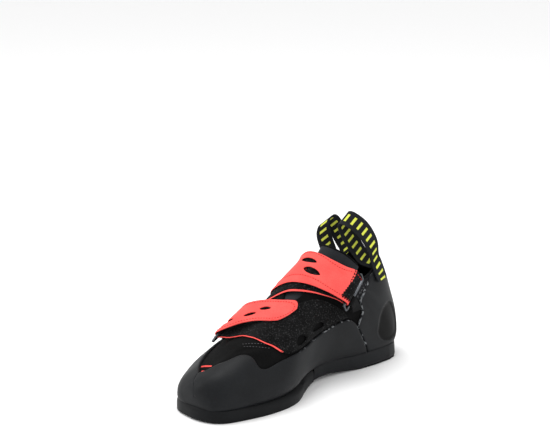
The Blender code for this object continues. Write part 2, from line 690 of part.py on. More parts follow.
def strap_grid(under, over, lift, turn, columns):
    """Centre points of a strap from its sewn end, round the fold, to its free end."""
    start, end, out, ahead = fold_bar(under, lift, turn)
    bar = line_between(start, end, columns)
    rows = []
    for share, rise, front, rear in under[:-1]:
        rows.append(strap_row(share, STRAP_REST + rise * lift, front, rear, columns, rise))
    for k in range(FOLD_STEPS + 1):
        angle = math.pi * k / FOLD_STEPS
        rows.append(bar + (ahead * math.sin(angle) - out * math.cos(angle)) * FOLD_RADIUS)
    top = STRAP_REST + lift + 2 * FOLD_RADIUS
    for share, rise, front, rear in over:
        height = OVER_REST + rise * (top - OVER_REST)
        rows.append(strap_row(share, height, front, rear, columns, rise))
    return np.array(rows)


lower_strap = strap_grid(LOWER_UNDER, LOWER_OVER, LOWER_LIFT, 1, 7)
add_object("lower_strap", sheet_mesh("lower_strap", lower_strap, STRAP), CORAL, 0.8)
upper_strap = strap_grid(UPPER_UNDER, UPPER_OVER, UPPER_LIFT, -1, 8)
add_object("upper_strap", sheet_mesh("upper_strap", upper_strap, STRAP), CORAL, 0.8)

# Rings: a wire loop, one bar in the strap's fold and one in a webbing anchor below it

RING_LENGTH = 8.5 * MM
RING_TILT = 0.35


def ring_corners(under, lift, turn):
    """The two bars of a ring, each with its ends, and the way the anchor leaves them."""
    start, end, out, ahead = fold_bar(under, lift, turn)
    along = (end - start) / np.linalg.norm(end - start)
    room = RING_WIRE / 2 + RING_SLACK
    away = ahead * math.cos(RING_TILT) - out * math.sin(RING_TILT)
    near = (start - along * room, end + along * room)
    far = (near[0] + away * RING_LENGTH, near[1] + away * RING_LENGTH)
    return near, far


def make_ring(name, corners):
    near, far = corners
    path = [near[0], near[1], far[1], far[0]]
    points = []
    for k, corner in enumerate(path):
        before = path[k - 1] - corner
        after = path[(k + 1) % 4] - corner
        bend = RING_WIRE * 0.7
        points.append(corner + before / np.linalg.norm(before) * bend)
        points.append(corner + after / np.linalg.norm(after) * bend)
    curve = bpy.data.curves.new(name, "CURVE")
    curve.dimensions = "3D"
    curve.bevel_depth = RING_WIRE / 2
    curve.bevel_resolution = 1
    spline = curve.splines.new("POLY")
    spline.points.add(len(points) - 1)
    for point, place in zip(spline.points, points):
        point.co = (*place, 1.0)
    spline.use_cyclic_u = True
    piece = bpy.data.objects.new(name, curve)
    curve.materials.append(make_material(name + "_material", STEEL, 0.4, 0.6))
    bpy.context.scene.collection.objects.link(piece)
    return piece


lower_corners = ring_corners(LOWER_UNDER, LOWER_LIFT, 1)
upper_corners = ring_corners(UPPER_UNDER, UPPER_LIFT, -1)
make_ring("lower_ring", lower_corners)
make_ring("upper_ring", upper_corners)

# Anchors: webbing sewn to the upper beside the rand, turned round the ring's lower bar


def anchor_grid(under, lift, turn, corners, foot_share, front, rear, columns):
    """Centre points of an anchor from the upper, round the ring's lower bar and back."""
    _, _, out, ahead = fold_bar(under, lift, turn)
    near, far = corners
    away = (far[0] - near[0]) / np.linalg.norm(far[0] - near[0])
    along = (far[1] - far[0]) / np.linalg.norm(far[1] - far[0])
    out = np.cross(along, away) * turn
    low_row = strap_row(foot_share, STRAP_REST, front, rear, columns, 1.0)
    high_row = strap_row(foot_share, OVER_REST, front, rear, columns, 1.0)
    reach = [(point - far[0]) @ along for point in (low_row[0], low_row[-1])]
    bar = line_between(far[0] + along * reach[0], far[0] + along * reach[1], columns)
    rows = []
    for t in (0, .5):
        rows.append(low_row * (1 - t) + (bar - out * FOLD_RADIUS) * t)
    for k in range(FOLD_STEPS + 1):
        angle = math.pi * k / FOLD_STEPS
        rows.append(bar - (away * math.sin(angle) + out * math.cos(angle)) * FOLD_RADIUS)
    for t in (.5, 0):
        rows.append(high_row * (1 - t) + (bar + out * FOLD_RADIUS) * t)
    return np.array(rows)


lower_anchor = anchor_grid(LOWER_UNDER, LOWER_LIFT, 1, lower_corners, 1.36, 6.3, 7.1, 3)
add_object("lower_anchor", sheet_mesh("lower_anchor", lower_anchor, STRAP), BLACK, 0.8)
upper_anchor = anchor_grid(UPPER_UNDER, UPPER_LIFT, -1, upper_corners, .57, 12.2, 13.4, 3)
add_object("upper_anchor", sheet_mesh("upper_anchor", upper_anchor, STRAP), BLACK, 0.8)

# Pull loops: webbing from the outside of the collar, up and over, to its inside

LOOP_OUT = RAND_OUTSIDE + STRAP_GAP + WEBBING / 2
LOOP_IN = -LAYER_GAP - WEBBING / 2
SEWN_STATIONS = (18.1, 18.55, 19.0)
# Free part of each loop from the rim: inner side as a share of BALL_WIDTH, back as a share
# of LAST_LENGTH, up as a share of INSTEP_HEIGHT, and how far the width has turned
INNER_LOOP = (
    (.015, .004, .068, .1), (-.001, .002, .149, .35), (-.047, -.005, .244, .7), (-.111, -.017, .326, .92),
    (-.188, -.032, .383, 1), (-.264, -.039, .404, 1), (-.321, -.032, .375, 1), (-.310, -.023, .297, .95),
    (-.251, -.014, .206, .85), (-.178, -.006, .118, .6), (-.094, .000, .051, .3),
)
OUTER_LOOP = (
    (-.025, -.005, .060, .1), (-.054, -.010, .133, .35), (-.084, -.015, .205, .7), (-.111, -.015, .280, .95),
    (-.115, -.004, .340, 1), (-.104, .015, .359, 1), (-.089, .036, .322, 1), (-.059, .050, .250, .97),
    (-.016, .058, .177, .85), (.030, .060, .118, .6), (.052, .046, .070, .3),
)
INNER_TURN = Vector((-0.316, -0.571, -0.753)).normalized()
OUTER_TURN = Vector((-0.48, -0.62, -0.60)).normalized()


def loop_grid(share, inside_share, table, turned, columns):
    """Centre points of a pull loop sewn outside the rim at one share and inside at another."""
    rim = Vector(foot(LAST_STATION, share, 0)[0])
    near = Vector(foot(LAST_STATION, share - 0.02, 0)[0])
    far = Vector(foot(LAST_STATION, share + 0.02, 0)[0])
    flat = (far - near).normalized()
    if flat.y > 0:
        flat = -flat
    spans = np.linspace(-0.5, 0.5, columns) * LOOP_WIDTH
    girth = half_girth(LAST_STATION, 1 if share > 0 else -1)
    forward = 1 if share > 0 else -1
    sewn = [share + forward * w / girth for w in spans]
    sewn_inside = [inside_share + forward * w / girth for w in spans]
    rows = [list(foot(station, sewn, LOOP_OUT)) for station in SEWN_STATIONS]
    for inner, back, up, turn in table:
        middle = rim + Vector((inner * BALL_WIDTH, back * LAST_LENGTH, up * INSTEP_HEIGHT))
        across = (flat * (1 - turn) + turned * turn).normalized()
        rows.append([middle + across * w for w in spans])
    rows += [list(foot(station, sewn_inside, LOOP_IN)) for station in SEWN_STATIONS[::-1]]
    return np.array(rows)


inner_loop = loop_grid(0.29, 0.24, INNER_LOOP, INNER_TURN, 4)
add_object("inner_pull_loop", sheet_mesh("inner_pull_loop", inner_loop, WEBBING), FABRIC_GREY, 0.8)
outer_loop = loop_grid(-0.36, -0.27, OUTER_LOOP, OUTER_TURN, 4)
add_object("outer_pull_loop", sheet_mesh("outer_pull_loop", outer_loop, WEBBING), FABRIC_GREY, 0.8)

# Move the shoe so that its box stands on the floor about the origin
bpy.context.view_layer.update()
CORNERS = np.array([tuple(piece.matrix_world @ Vector(corner))
                    for piece in bpy.context.scene.objects for corner in piece.bound_box])
CENTRE = (CORNERS.min(axis=0) + CORNERS.max(axis=0)) / 2
for piece in bpy.context.scene.objects:
    piece.location.x -= CENTRE[0]
    piece.location.y -= CENTRE[1]
    piece.location.z -= CORNERS[:, 2].min()
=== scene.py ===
"""A climbing shoe for the right foot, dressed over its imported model.

The script follows the shoe as it is put together: the upper on its last, the insole and
tongue, the rubber rands and soles, the two straps with their rings, and the pull loops.
Lengths are in metres, the toe points along -Y and the inner side of the foot is +X.
"""
import math

import bmesh
import bpy
import numpy as np
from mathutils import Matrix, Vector
from mathutils.geometry import convex_hull_2d, delaunay_2d_cdt


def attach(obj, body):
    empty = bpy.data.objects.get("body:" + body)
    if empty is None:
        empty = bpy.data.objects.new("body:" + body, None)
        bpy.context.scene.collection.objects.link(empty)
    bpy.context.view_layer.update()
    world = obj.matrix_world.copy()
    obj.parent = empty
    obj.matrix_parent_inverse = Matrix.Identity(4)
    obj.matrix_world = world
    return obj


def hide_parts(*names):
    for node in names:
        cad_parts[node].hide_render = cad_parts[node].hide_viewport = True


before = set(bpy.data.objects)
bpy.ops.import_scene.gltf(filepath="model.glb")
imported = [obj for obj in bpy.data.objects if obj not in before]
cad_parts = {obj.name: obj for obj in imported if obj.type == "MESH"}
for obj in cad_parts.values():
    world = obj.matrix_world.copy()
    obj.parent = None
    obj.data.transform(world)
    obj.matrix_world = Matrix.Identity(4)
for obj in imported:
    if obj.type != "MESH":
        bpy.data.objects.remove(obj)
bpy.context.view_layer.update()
MM = 0.001

# Upper
# Black microfibre suede and a knitted collar, sewn from a few panels, turned over the last
# and glued. It is open at the collar, along the throat and underneath, where the soles go.

LAST_LENGTH = 230 * MM
BALL_WIDTH = 85 * MM
INSTEP_HEIGHT = 100 * MM
UPPER_WALL = 1.8 * MM
# Height of the underside of the foot above the floor
BASE = 9.2 * MM
# Where the last's own middle lies from the middle of the whole shoe
LAST_CENTRE = (-1.2923 * MM, -2.3846 * MM)
COLUMNS = (
    "top_along", "top_height", "base_along", "base_height", "inner", "outer", "crest",
    "keel", "inner_widest", "outer_widest", "low_square", "inner_dome", "outer_dome",
    "arch", "dip",
)
# Sections of the foot as shares of the three sizes above, from the toe to the collar
SECTIONS = {
    "toe tip":     (1.000, .105, 1.000, .105, .060, .060, .060, .060, .45, .45, 2.0, 2.0, 2.00, 0, 0),
    "toe front":   (0.994, .160, 0.998, .045, .155, -.030, .090, .060, .42, .42, 3.2, 2.0, 2.00, 0, 0),
    "toe nail":    (0.977, .200, 0.989, .010, .232, -.165, .120, .050, .38, .36, 4.2, 2.0, 1.85, 0, 0),
    "toe joint":   (0.945, .243, 0.960, .000, .298, -.258, .135, .040, .34, .30, 4.8, 2.0, 1.75, 0, 0),
    "toes":        (0.895, .288, 0.908, .000, .352, -.342, .140, .030, .32, .26, 4.8, 2.0, 1.70, 0, 0),
    "toe roots":   (0.828, .343, 0.838, .000, .408, -.415, .130, .020, .31, .24, 4.6, 1.9, 1.70, 0, 0),
    "ball":        (0.752, .406, 0.760, .000, .438, -.463, .110, .010, .30, .23, 4.4, 1.9, 1.70, 0, 0),
    "behind ball": (0.674, .473, 0.683, .000, .430, -.482, .085, .000, .30, .23, 4.0, 1.9, 1.70, .02, 0),
    "fore arch":   (0.599, .548, 0.600, .003, .362, -.481, .065, -.01, .30, .24, 3.4, 1.9, 1.75, .03, 0),
    "arch":        (0.530, .645, 0.505, .015, .290, -.460, .050, -.02, .30, .25, 3.1, 2.0, 1.85, .04, 0),
    "rear arch":   (0.476, .735, 0.410, .025, .268, -.412, .035, -.02, .30, .26, 3.4, 2.1, 2.00, .03, 0),
    "heel breast": (0.442, .795, 0.315, .020, .272, -.364, .020, -.01, .29, .27, 4.6, 2.2, 2.10, .01, 0),
    "heel front":  (0.422, .832, 0.228, .005, .285, -.321, .015, .000, .28, .28, 5.6, 2.3, 2.20, 0, .003),
    "heel seat":   (0.409, .856, 0.145, .000, .298, -.305, .010, .000, .27, .28, 5.6, 2.4, 2.30, 0, .012),
    "heel corner": (0.399, .873, 0.080, .010, .305, -.305, .010, .000, .28, .28, 5.0, 2.4, 2.40, 0, .026),
    "heel low":    (0.390, .886, 0.036, .078, .305, -.305, .000, .000, .31, .31, 3.2, 2.4, 2.40, 0, .045),
    "heel round":  (0.381, .897, 0.018, .210, .298, -.298, .000, .000, .36, .36, 2.4, 2.4, 2.40, 0, .068),
    "heel back":   (0.372, .907, 0.030, .385, .280, -.280, .000, .000, .40, .40, 2.2, 2.3, 2.30, 0, .096),
    "ankle":       (0.362, .916, 0.060, .585, .260, -.260, .000, .000, .42, .42, 2.2, 2.2, 2.20, 0, .130),
    "collar":      (0.352, .925, 0.094, .775, .240, -.240, .000, .000, .43, .43, 2.2, 2.1, 2.10, 0, .170),
}
# Columns that keep their sign where the rows are mirrored about the tip of the toe
EVEN = ("top_along", "base_along", "inner_widest", "outer_widest", "low_square",
        "inner_dome", "outer_dome", "arch", "dip")
GHOSTS = 3
RIM = len(SECTIONS) - 1.0
FOOT_ROWS = np.linspace(0, RIM, 381)
FOOT_COLUMNS = np.linspace(-1, 1, 401)
# Millimetres on the pattern for one station along the foot and one share of the girth
PATTERN_SCALE = np.array((11.5, 105.0))
# What the pattern's station and share are multiplied by in its UV map
UV_SCALE = np.array((0.05, 0.5))
# Below this a step or a length counts as none
TINY = 1e-9
# Points nearer than this are welded into one
WELD = 0.01 * MM


def curve_through(knots, values, at):
    """A natural cubic curve through rows of values at knots, read at other places."""
    count = len(knots)
    gaps = np.diff(knots)
    matrix = np.eye(count)
    right = np.zeros_like(values)
    for i in range(1, count - 1):
        matrix[i, i - 1:i + 2] = (gaps[i - 1], 2 * (gaps[i - 1] + gaps[i]), gaps[i])
        right[i] = 6 * ((values[i + 1] - values[i]) / gaps[i]
                        - (values[i] - values[i - 1]) / gaps[i - 1])
    bends = np.linalg.solve(matrix, right)
    k = np.clip(np.searchsorted(knots, at, "right") - 1, 0, count - 2)
    after = (at - knots[k])[:, None]
    before = (knots[k + 1] - at)[:, None]
    gap = gaps[k][:, None]
    return ((bends[k] * before ** 3 + bends[k + 1] * after ** 3) / (6 * gap)
            + (values[k] / gap - bends[k] * gap / 6) * before
            + (values[k + 1] / gap - bends[k + 1] * gap / 6) * after)


def walked_along(points):
    """The length walked along a line at each of its points."""
    return np.concatenate([[0], np.cumsum(np.linalg.norm(np.diff(points, axis=0), axis=1))])


def unit(ways):
    """Rows or grids of directions, each of length one."""
    return ways / np.linalg.norm(ways, axis=-1, keepdims=True)


def over_grid(skin, row, column, heights):
    """Points at a height over a fine grid of points and outward directions."""
    i = np.minimum(row.astype(int), skin[0].shape[0] - 2)
    j = np.minimum(column.astype(int), skin[0].shape[1] - 2)
    t, u = (row - i)[..., None], (column - j)[..., None]
    points, ways = [(1 - t) * (1 - u) * a[i, j] + t * (1 - u) * a[i + 1, j]
                    + (1 - t) * u * a[i, j + 1] + t * u * a[i + 1, j + 1] for a in skin[:2]]
    return points + ways * np.asarray(heights)[..., None]


def foot_sections(dip_share):
    """Rings of points round the foot and their outward directions, even by girth."""
    rows = np.array(list(SECTIONS.values()), float)
    mirrored = rows[GHOSTS:0:-1].copy()
    for column, name in enumerate(COLUMNS):
        if name not in EVEN:
            mirrored[:, column] = 2 * rows[0, column] - mirrored[:, column]
    knots = np.arange(-GHOSTS, len(rows), dtype=float)
    read = curve_through(knots, np.vstack([mirrored, rows]), FOOT_ROWS)
    r = {name: read[:, column][:, None] for column, name in enumerate(COLUMNS)}
    quarter = math.pi / 2 * np.array([3 * t ** 2 - 2 * t ** 3 for t in np.linspace(0, 1, 25)])
    angles = np.concatenate([quarter, math.pi - quarter[-2::-1]])[None, :]
    low = angles <= math.pi / 2
    points = np.zeros((len(FOOT_ROWS), len(FOOT_COLUMNS), 3))
    for side, name in ((1, "inner"), (-1, "outer")):
        widest = r[name + "_widest"]
        power = np.where(low, r["low_square"], r[name + "_dome"])
        sine = np.abs(np.sin(angles)) ** (2 / power)
        sine[:, 0] = sine[:, -1] = 0
        cosine = np.abs(np.cos(angles)) ** (2 / power)
        up = np.where(low, widest * (1 - cosine), widest + (1 - widest) * cosine)
        middle = np.where(low, r["keel"], r["crest"])
        across = (middle + (r[name] - middle) * sine) * BALL_WIDTH
        run = (r["top_along"] - r["base_along"]) * LAST_LENGTH
        rise = (r["top_height"] - r["base_height"]) * INSTEP_HEIGHT
        length = np.maximum(np.hypot(run, rise), TINY)
        upper_half = 1 - (1 + np.minimum(np.cos(angles), 0)) ** 2
        dip = r["dip"] * INSTEP_HEIGHT * np.sin(angles) ** 2 * (1 - np.cos(angles))
        dip = dip * (1 - (1 - dip_share) * upper_half)
        lift = r["arch"] * INSTEP_HEIGHT * np.sin(angles) ** 2 * (side > 0)
        along = r["base_along"] * LAST_LENGTH + run * up + dip * rise / length
        height = r["base_height"] * INSTEP_HEIGHT + rise * up - dip * run / length + lift
        back = LAST_LENGTH / 2 - along - LAST_CENTRE[1]
        half = np.stack([across - LAST_CENTRE[0], back, BASE + height], 2)
        pick = FOOT_COLUMNS >= 0 if side > 0 else FOOT_COLUMNS < 0
        for k, section in enumerate(half):
            walked = walked_along(section)
            shares = walked / walked[-1] if walked[-1] > TINY else np.linspace(0, 1, len(walked))
            for axis in range(3):
                points[k, pick, axis] = np.interp(np.abs(FOOT_COLUMNS[pick]), shares, section[:, axis])
    points[:, 0] = points[:, -1]
    along_rows = np.gradient(points, axis=0)
    wrapped = np.concatenate([points[:, -2:-1], points, points[:, 1:2]], axis=1)
    along_columns = (wrapped[:, 2:] - wrapped[:, :-2]) / 2
    normals = np.cross(along_rows, along_columns)
    normals[0] = (0, -1, 0)
    normals /= np.maximum(np.linalg.norm(normals, axis=2, keepdims=True), 1e-12)
    return points, normals


FOOT = foot_sections(1.0)


def on_foot(stations, shares, heights=0.0, skin=FOOT):
    """Points at a height over the foot, for stations from the toe and shares of the girth."""
    given = [np.asarray(a, float) for a in (stations, shares, heights)]
    stations, shares, heights = np.broadcast_arrays(*given)
    row = np.clip(stations, 0, RIM) / RIM * (len(FOOT_ROWS) - 1)
    column = ((shares + 1) % 2) / 2 * (len(FOOT_COLUMNS) - 1)
    return over_grid(skin, row, column, heights)


def smooth_line(points, spacing, closed=False):
    """A pattern line that passes smoothly through given points."""
    points = np.array(points, float)
    if closed:
        points = np.vstack([points[-2:], points, points[:3]])
    steps = np.linalg.norm(np.diff(points * PATTERN_SCALE, axis=0), axis=1)
    knots = np.concatenate([[0], np.cumsum(np.sqrt(steps))])
    walked = np.concatenate([[0], np.cumsum(steps)])
    first, last = (2, len(points) - 3) if closed else (0, len(points) - 1)
    count = max(2, int(round((walked[last] - walked[first]) / spacing)))
    places = np.interp(np.linspace(walked[first], walked[last], count + 1), walked, knots)
    line = curve_through(knots, points, places)
    return line[:-1] if closed else line


def inside(points, outline):
    """Which points lie inside a closed outline."""
    x, y = points[:, 0][:, None], points[:, 1][:, None]
    ax, ay = outline[:, 0][None], outline[:, 1][None]
    bx, by = np.roll(ax, -1, axis=1), np.roll(ay, -1, axis=1)
    spans = (ay > y) != (by > y)
    rise = np.where(by == ay, 1e-12, by - ay)
    return (np.sum(spans & (x < (bx - ax) * (y - ay) / rise + ax), axis=1) % 2).astype(bool)


def on_panel(points, outline, holes):
    """Which points lie on a panel: inside its outline and outside its holes."""
    keep = inside(points, outline)
    for hole in holes:
        keep &= ~inside(points, hole)
    return keep


def edge_distance(points, outlines):
    """Distance of each point from the nearest outline."""
    best = np.full(len(points), 1e9)
    for outline in outlines:
        a = outline
        step = np.roll(outline, -1, axis=0) - a
        size = np.maximum((step ** 2).sum(axis=1), 1e-12)
        for block in range(0, len(points), 2000):
            part = points[block:block + 2000]
            t = np.clip(((part[:, None] - a) * step).sum(axis=2) / size, 0, 1)
            gap = np.linalg.norm(part[:, None] - (a + t[..., None] * step), axis=2)
            best[block:block + 2000] = np.minimum(best[block:block + 2000], gap.min(axis=1))
    return best


def cut_pattern(outline, holes=(), spacing=1.6, edge=(0.25, 0.7), scale=PATTERN_SCALE):
    """Points, triangles and edge distances of a panel cut from sheet. The outline and the
    holes are dense lines, and extra rows of points follow them for a rounded edge."""
    outline = np.array(outline, float) * scale
    holes = [np.array(hole, float) * scale for hole in holes]
    lines = [outline, *holes]
    cells = []
    low, high = outline.min(axis=0), outline.max(axis=0)
    for k, y in enumerate(np.arange(low[1], high[1], spacing * 0.866)):
        xs = np.arange(low[0] + (k % 2) * spacing / 2, high[0], spacing)
        cells.append(np.stack([xs, np.full_like(xs, y)], 1))
    cells = np.vstack(cells)
    cells = cells[on_panel(cells, outline, holes)]
    cells = cells[edge_distance(cells, lines) > edge[-1] + spacing * 0.45]
    rows = []
    for line in lines:
        step = np.roll(line, -1, axis=0) - np.roll(line, 1, axis=0)
        normal = np.stack([-step[:, 1], step[:, 0]], 1)
        normal /= np.maximum(np.linalg.norm(normal, axis=1, keepdims=True), TINY)
        for depth in edge:
            for way in (1, -1):
                row = line + normal * depth * way
                row = row[on_panel(row, outline, holes)]
                if len(row):
                    rows.append(row[edge_distance(row, lines) > depth * 0.8])
    points = np.vstack([*lines, *rows, cells])
    edges = []
    start = 0
    for line in lines:
        count = len(line)
        edges += [(start + k, start + (k + 1) % count) for k in range(count)]
        start += count
    flat = delaunay_2d_cdt([Vector(p) for p in points], edges, [], 0, 1e-5)
    points = np.array([tuple(p) for p in flat[0]])
    triangles = np.array([tuple(f) for f in flat[2]])
    triangles = triangles[on_panel(points[triangles].mean(axis=1), outline, holes)]
    a, b, c = (points[triangles[:, k]] for k in range(3))
    area = (b[:, 0] - a[:, 0]) * (c[:, 1] - a[:, 1]) - (b[:, 1] - a[:, 1]) * (c[:, 0] - a[:, 0])
    triangles[area < 0] = triangles[area < 0][:, ::-1]
    return points / scale, triangles, edge_distance(points, lines)


def rounded(depth, radius):
    """How far a surface drops near its cut edge, in millimetres."""
    t = np.clip(1 - depth / radius, 0, 1)
    return radius * (1 - np.sqrt(1 - t ** 2))


def sewn_piece(name, pattern, place, top, bottom, radius, materials, turned=False, back_radius=0.0):
    """A closed sheet over a pattern: its face, cut edge and back take the three materials."""
    places, triangles, depth = pattern
    stations, shares = places[:, 0], places[:, 1]
    count = len(places)
    face_drop = rounded(depth, radius) * MM
    back_drop = rounded(depth, back_radius + 1e-6) * MM
    face = place(stations, shares, np.broadcast_to(top, count) - face_drop)
    back = place(stations, shares, np.broadcast_to(bottom, count) + back_drop)
    directed = {(f[k], f[(k + 1) % 3]) for f in triangles.tolist() for k in range(3)}
    rim = [(a, b) for a, b in directed if (b, a) not in directed]
    faces = triangles.tolist()
    kinds = [0] * len(faces)
    faces += (triangles[:, ::-1] + count).tolist()
    kinds += [2] * len(triangles)
    for a, b in sorted(rim):
        faces.append((b, a, a + count, b + count))
        kinds.append(1)
    if turned:
        faces = [tuple(f)[::-1] for f in faces]
    mesh = bpy.data.meshes.new(name)
    mesh.from_pydata([tuple(p) for p in np.vstack([face, back])], [], faces)
    for material in materials:
        mesh.materials.append(material)
    mesh.polygons.foreach_set("material_index", kinds)
    pattern_map = mesh.uv_layers.new(name="pattern")
    flat = np.vstack([places, places]) * UV_SCALE
    corners = np.zeros(len(mesh.loops), int)
    mesh.loops.foreach_get("vertex_index", corners)
    pattern_map.data.foreach_set("uv", flat[corners].ravel())
    depths = mesh.attributes.new("edge_depth", "FLOAT", "POINT")
    depths.data.foreach_set("value", np.concatenate([depth, depth]).astype(np.float32))
    welded = bmesh.new()
    welded.from_mesh(mesh)
    bmesh.ops.remove_doubles(welded, verts=welded.verts, dist=WELD)
    bmesh.ops.dissolve_degenerate(welded, edges=welded.edges, dist=WELD / 5)
    paired = [f for f in welded.faces if all(len(e.link_faces) > 2 for e in f.edges)]
    bmesh.ops.delete(welded, geom=paired, context="FACES_ONLY")
    welded.to_mesh(mesh)
    welded.free()
    mesh.shade_smooth()
    mesh.set_sharp_from_angle(angle=math.radians(50))
    piece = bpy.data.objects.new(name, mesh)
    bpy.context.scene.collection.objects.link(piece)
    return piece


# Index of the finish that some pieces carry beside those of their face, edge and back
EXTRA = 3


def face_places(piece):
    """Where the middle of each face lies on the flat pattern."""
    flat = piece.data.uv_layers["pattern"].data
    return [np.mean([flat[k].uv[:] for k in face.loop_indices], axis=0) / UV_SCALE
            for face in piece.data.polygons]


def add_node(tree, kind, inputs=(), **settings):
    """One shader or geometry node with its inputs set or joined."""
    node = tree.nodes.new(kind)
    for key, value in settings.items():
        setattr(node, key, value)
    for key, value in dict(inputs).items():
        if isinstance(value, bpy.types.NodeSocket):
            tree.links.new(value, node.inputs[key])
        else:
            node.inputs[key].default_value = value
    return node


def combine(tree, operation, first, second):
    """A sum, product or comparison of two values in a material."""
    return add_node(tree, "ShaderNodeMath", {0: first, 1: second}, operation=operation).outputs[0]


def scale_up(tree, value, low, high, top=1.0):
    """A value that rises from 0 at low to top at high."""
    limits = {"Value": value, "From Min": low, "From Max": high, "To Max": top}
    return add_node(tree, "ShaderNodeMapRange", limits).outputs[0]


PATCHES_PER_METRE = 55.0
TONE_SPAN = (0.75, 1.25)
FLECK_SPAN = (0.57, 0.70)
FLECK_SIZE = 0.6


def textile(name, dark, light, grain, fleck, roughness, relief, sheen=0.0, fine=3.0, specular=0.08):
    """A cloth, suede or rubber finish: two tones in soft patches, a grain of that many
    points to the metre, light flecks and a bump of the same grain."""
    material = bpy.data.materials.new(name)
    material.use_nodes = True
    tree = material.node_tree
    shader = tree.nodes["Principled BSDF"]
    shader.inputs["Roughness"].default_value = roughness
    shader.inputs["Sheen Weight"].default_value = sheen
    shader.inputs["Sheen Roughness"].default_value = 0.4
    shader.inputs["Specular IOR Level"].default_value = specular
    place = add_node(tree, "ShaderNodeTexCoord").outputs["Object"]
    patches = add_node(tree, "ShaderNodeTexNoise",
                       {"Vector": place, "Scale": PATCHES_PER_METRE, "Detail": 4.0})
    nap = add_node(tree, "ShaderNodeTexNoise",
                   {"Vector": place, "Scale": grain, "Detail": fine, "Roughness": 0.65})
    tone = scale_up(tree, combine(tree, "ADD", patches.outputs["Fac"], nap.outputs["Fac"]), *TONE_SPAN)
    colour = mix_colours(tree, tone, dark, light)
    if fleck > 0:
        spots = add_node(tree, "ShaderNodeTexNoise",
                         {"Vector": place, "Scale": grain * FLECK_SIZE, "Detail": 2.0})
        brighter = tuple(min(1.0, v * 3 + 0.03) for v in light)
        colour = mix_colours(tree, scale_up(tree, spots.outputs["Fac"], *FLECK_SPAN, fleck), colour, brighter)
    tree.links.new(colour, shader.inputs["Base Color"])
    bump = add_node(tree, "ShaderNodeBump",
                    {"Height": nap.outputs["Fac"], "Strength": 1.0, "Distance": relief})
    tree.links.new(bump.outputs["Normal"], shader.inputs["Normal"])
    return material


def mix_colours(tree, factor, first, second):
    """Two colours, given or from a node, mixed by a factor."""
    node = tree.nodes.new("ShaderNodeMix")
    node.data_type = "RGBA"
    tree.links.new(factor, node.inputs[0])
    for socket, colour in ((node.inputs[6], first), (node.inputs[7], second)):
        if isinstance(colour, bpy.types.NodeSocket):
            tree.links.new(colour, socket)
        else:
            socket.default_value = (*colour, 1.0)
    return node.outputs[2]


def read_table(table, x):
    """Values of a short (place, value) table between its rows."""
    return np.interp(x, [row[0] for row in table], [row[1] for row in table])


def edge_line(stations, share):
    """A pattern line along a range of stations, with its share from a function."""
    return [(s, float(share(s))) for s in stations]


# How much the stitches of a seam vary in length, width and height
STITCH_LEAST = (0.85, 0.9, 0.9)
STITCH_MOST = (1.1, 1.1, 1.1)


def plant_seam_tree():
    """Geometry nodes that lay stitches at an even pitch along a line of points."""
    tree = bpy.data.node_groups.new("seam_stitches", "GeometryNodeTree")
    tree.interface.new_socket("Seam", in_out="INPUT", socket_type="NodeSocketGeometry")
    for name in ("Pitch", "Length", "Thickness"):
        tree.interface.new_socket(name, in_out="INPUT", socket_type="NodeSocketFloat")
    tree.interface.new_socket("Seed", in_out="INPUT", socket_type="NodeSocketInt")
    tree.interface.new_socket("Thread", in_out="INPUT", socket_type="NodeSocketMaterial")
    tree.interface.new_socket("Stitches", in_out="OUTPUT", socket_type="NodeSocketGeometry")
    given = tree.nodes.new("NodeGroupInput").outputs
    line = add_node(tree, "GeometryNodeMeshToCurve", {0: given["Seam"]})
    spaced = add_node(tree, "GeometryNodeResampleCurve",
                      {"Curve": line.outputs[0], "Length": given["Pitch"]}, mode="LENGTH")
    tangent = add_node(tree, "GeometryNodeInputTangent")
    outward = add_node(tree, "GeometryNodeInputNamedAttribute", {"Name": "outward"},
                       data_type="FLOAT_VECTOR")
    ahead = add_node(tree, "FunctionNodeAlignRotationToVector", {"Vector": tangent.outputs[0]}, axis="X")
    upright = add_node(tree, "FunctionNodeAlignRotationToVector",
                       {"Rotation": ahead.outputs[0], "Vector": outward.outputs[0]},
                       axis="Z", pivot_axis="X")
    bead = add_node(tree, "GeometryNodeMeshUVSphere", {"Segments": 8, "Rings": 6, "Radius": 0.5})
    size = add_node(tree, "ShaderNodeCombineXYZ",
                    {"X": given["Length"], "Y": given["Thickness"], "Z": given["Thickness"]})
    shaped = add_node(tree, "GeometryNodeTransform",
                      {"Geometry": bead.outputs[0], "Scale": size.outputs[0]})
    varied = add_node(tree, "FunctionNodeRandomValue",
                      {0: STITCH_LEAST, 1: STITCH_MOST, "Seed": given["Seed"]}, data_type="FLOAT_VECTOR")
    laid = add_node(tree, "GeometryNodeInstanceOnPoints",
                    {"Points": spaced.outputs[0], "Instance": shaped.outputs[0],
                     "Rotation": upright.outputs[0], "Scale": varied.outputs[0]})
    real = add_node(tree, "GeometryNodeRealizeInstances", {0: laid.outputs[0]})
    smooth = add_node(tree, "GeometryNodeSetShadeSmooth", {0: real.outputs[0]})
    dyed = add_node(tree, "GeometryNodeSetMaterial",
                    {"Geometry": smooth.outputs[0], "Material": given["Thread"]})
    add_node(tree, "NodeGroupOutput", {"Stitches": dyed.outputs[0]})
    return tree


SEAM_TREE = plant_seam_tree()


def seam(points, raised):
    """A row of points with the ways out of the surface, read from a raised copy of it."""
    return points, unit(raised - points)


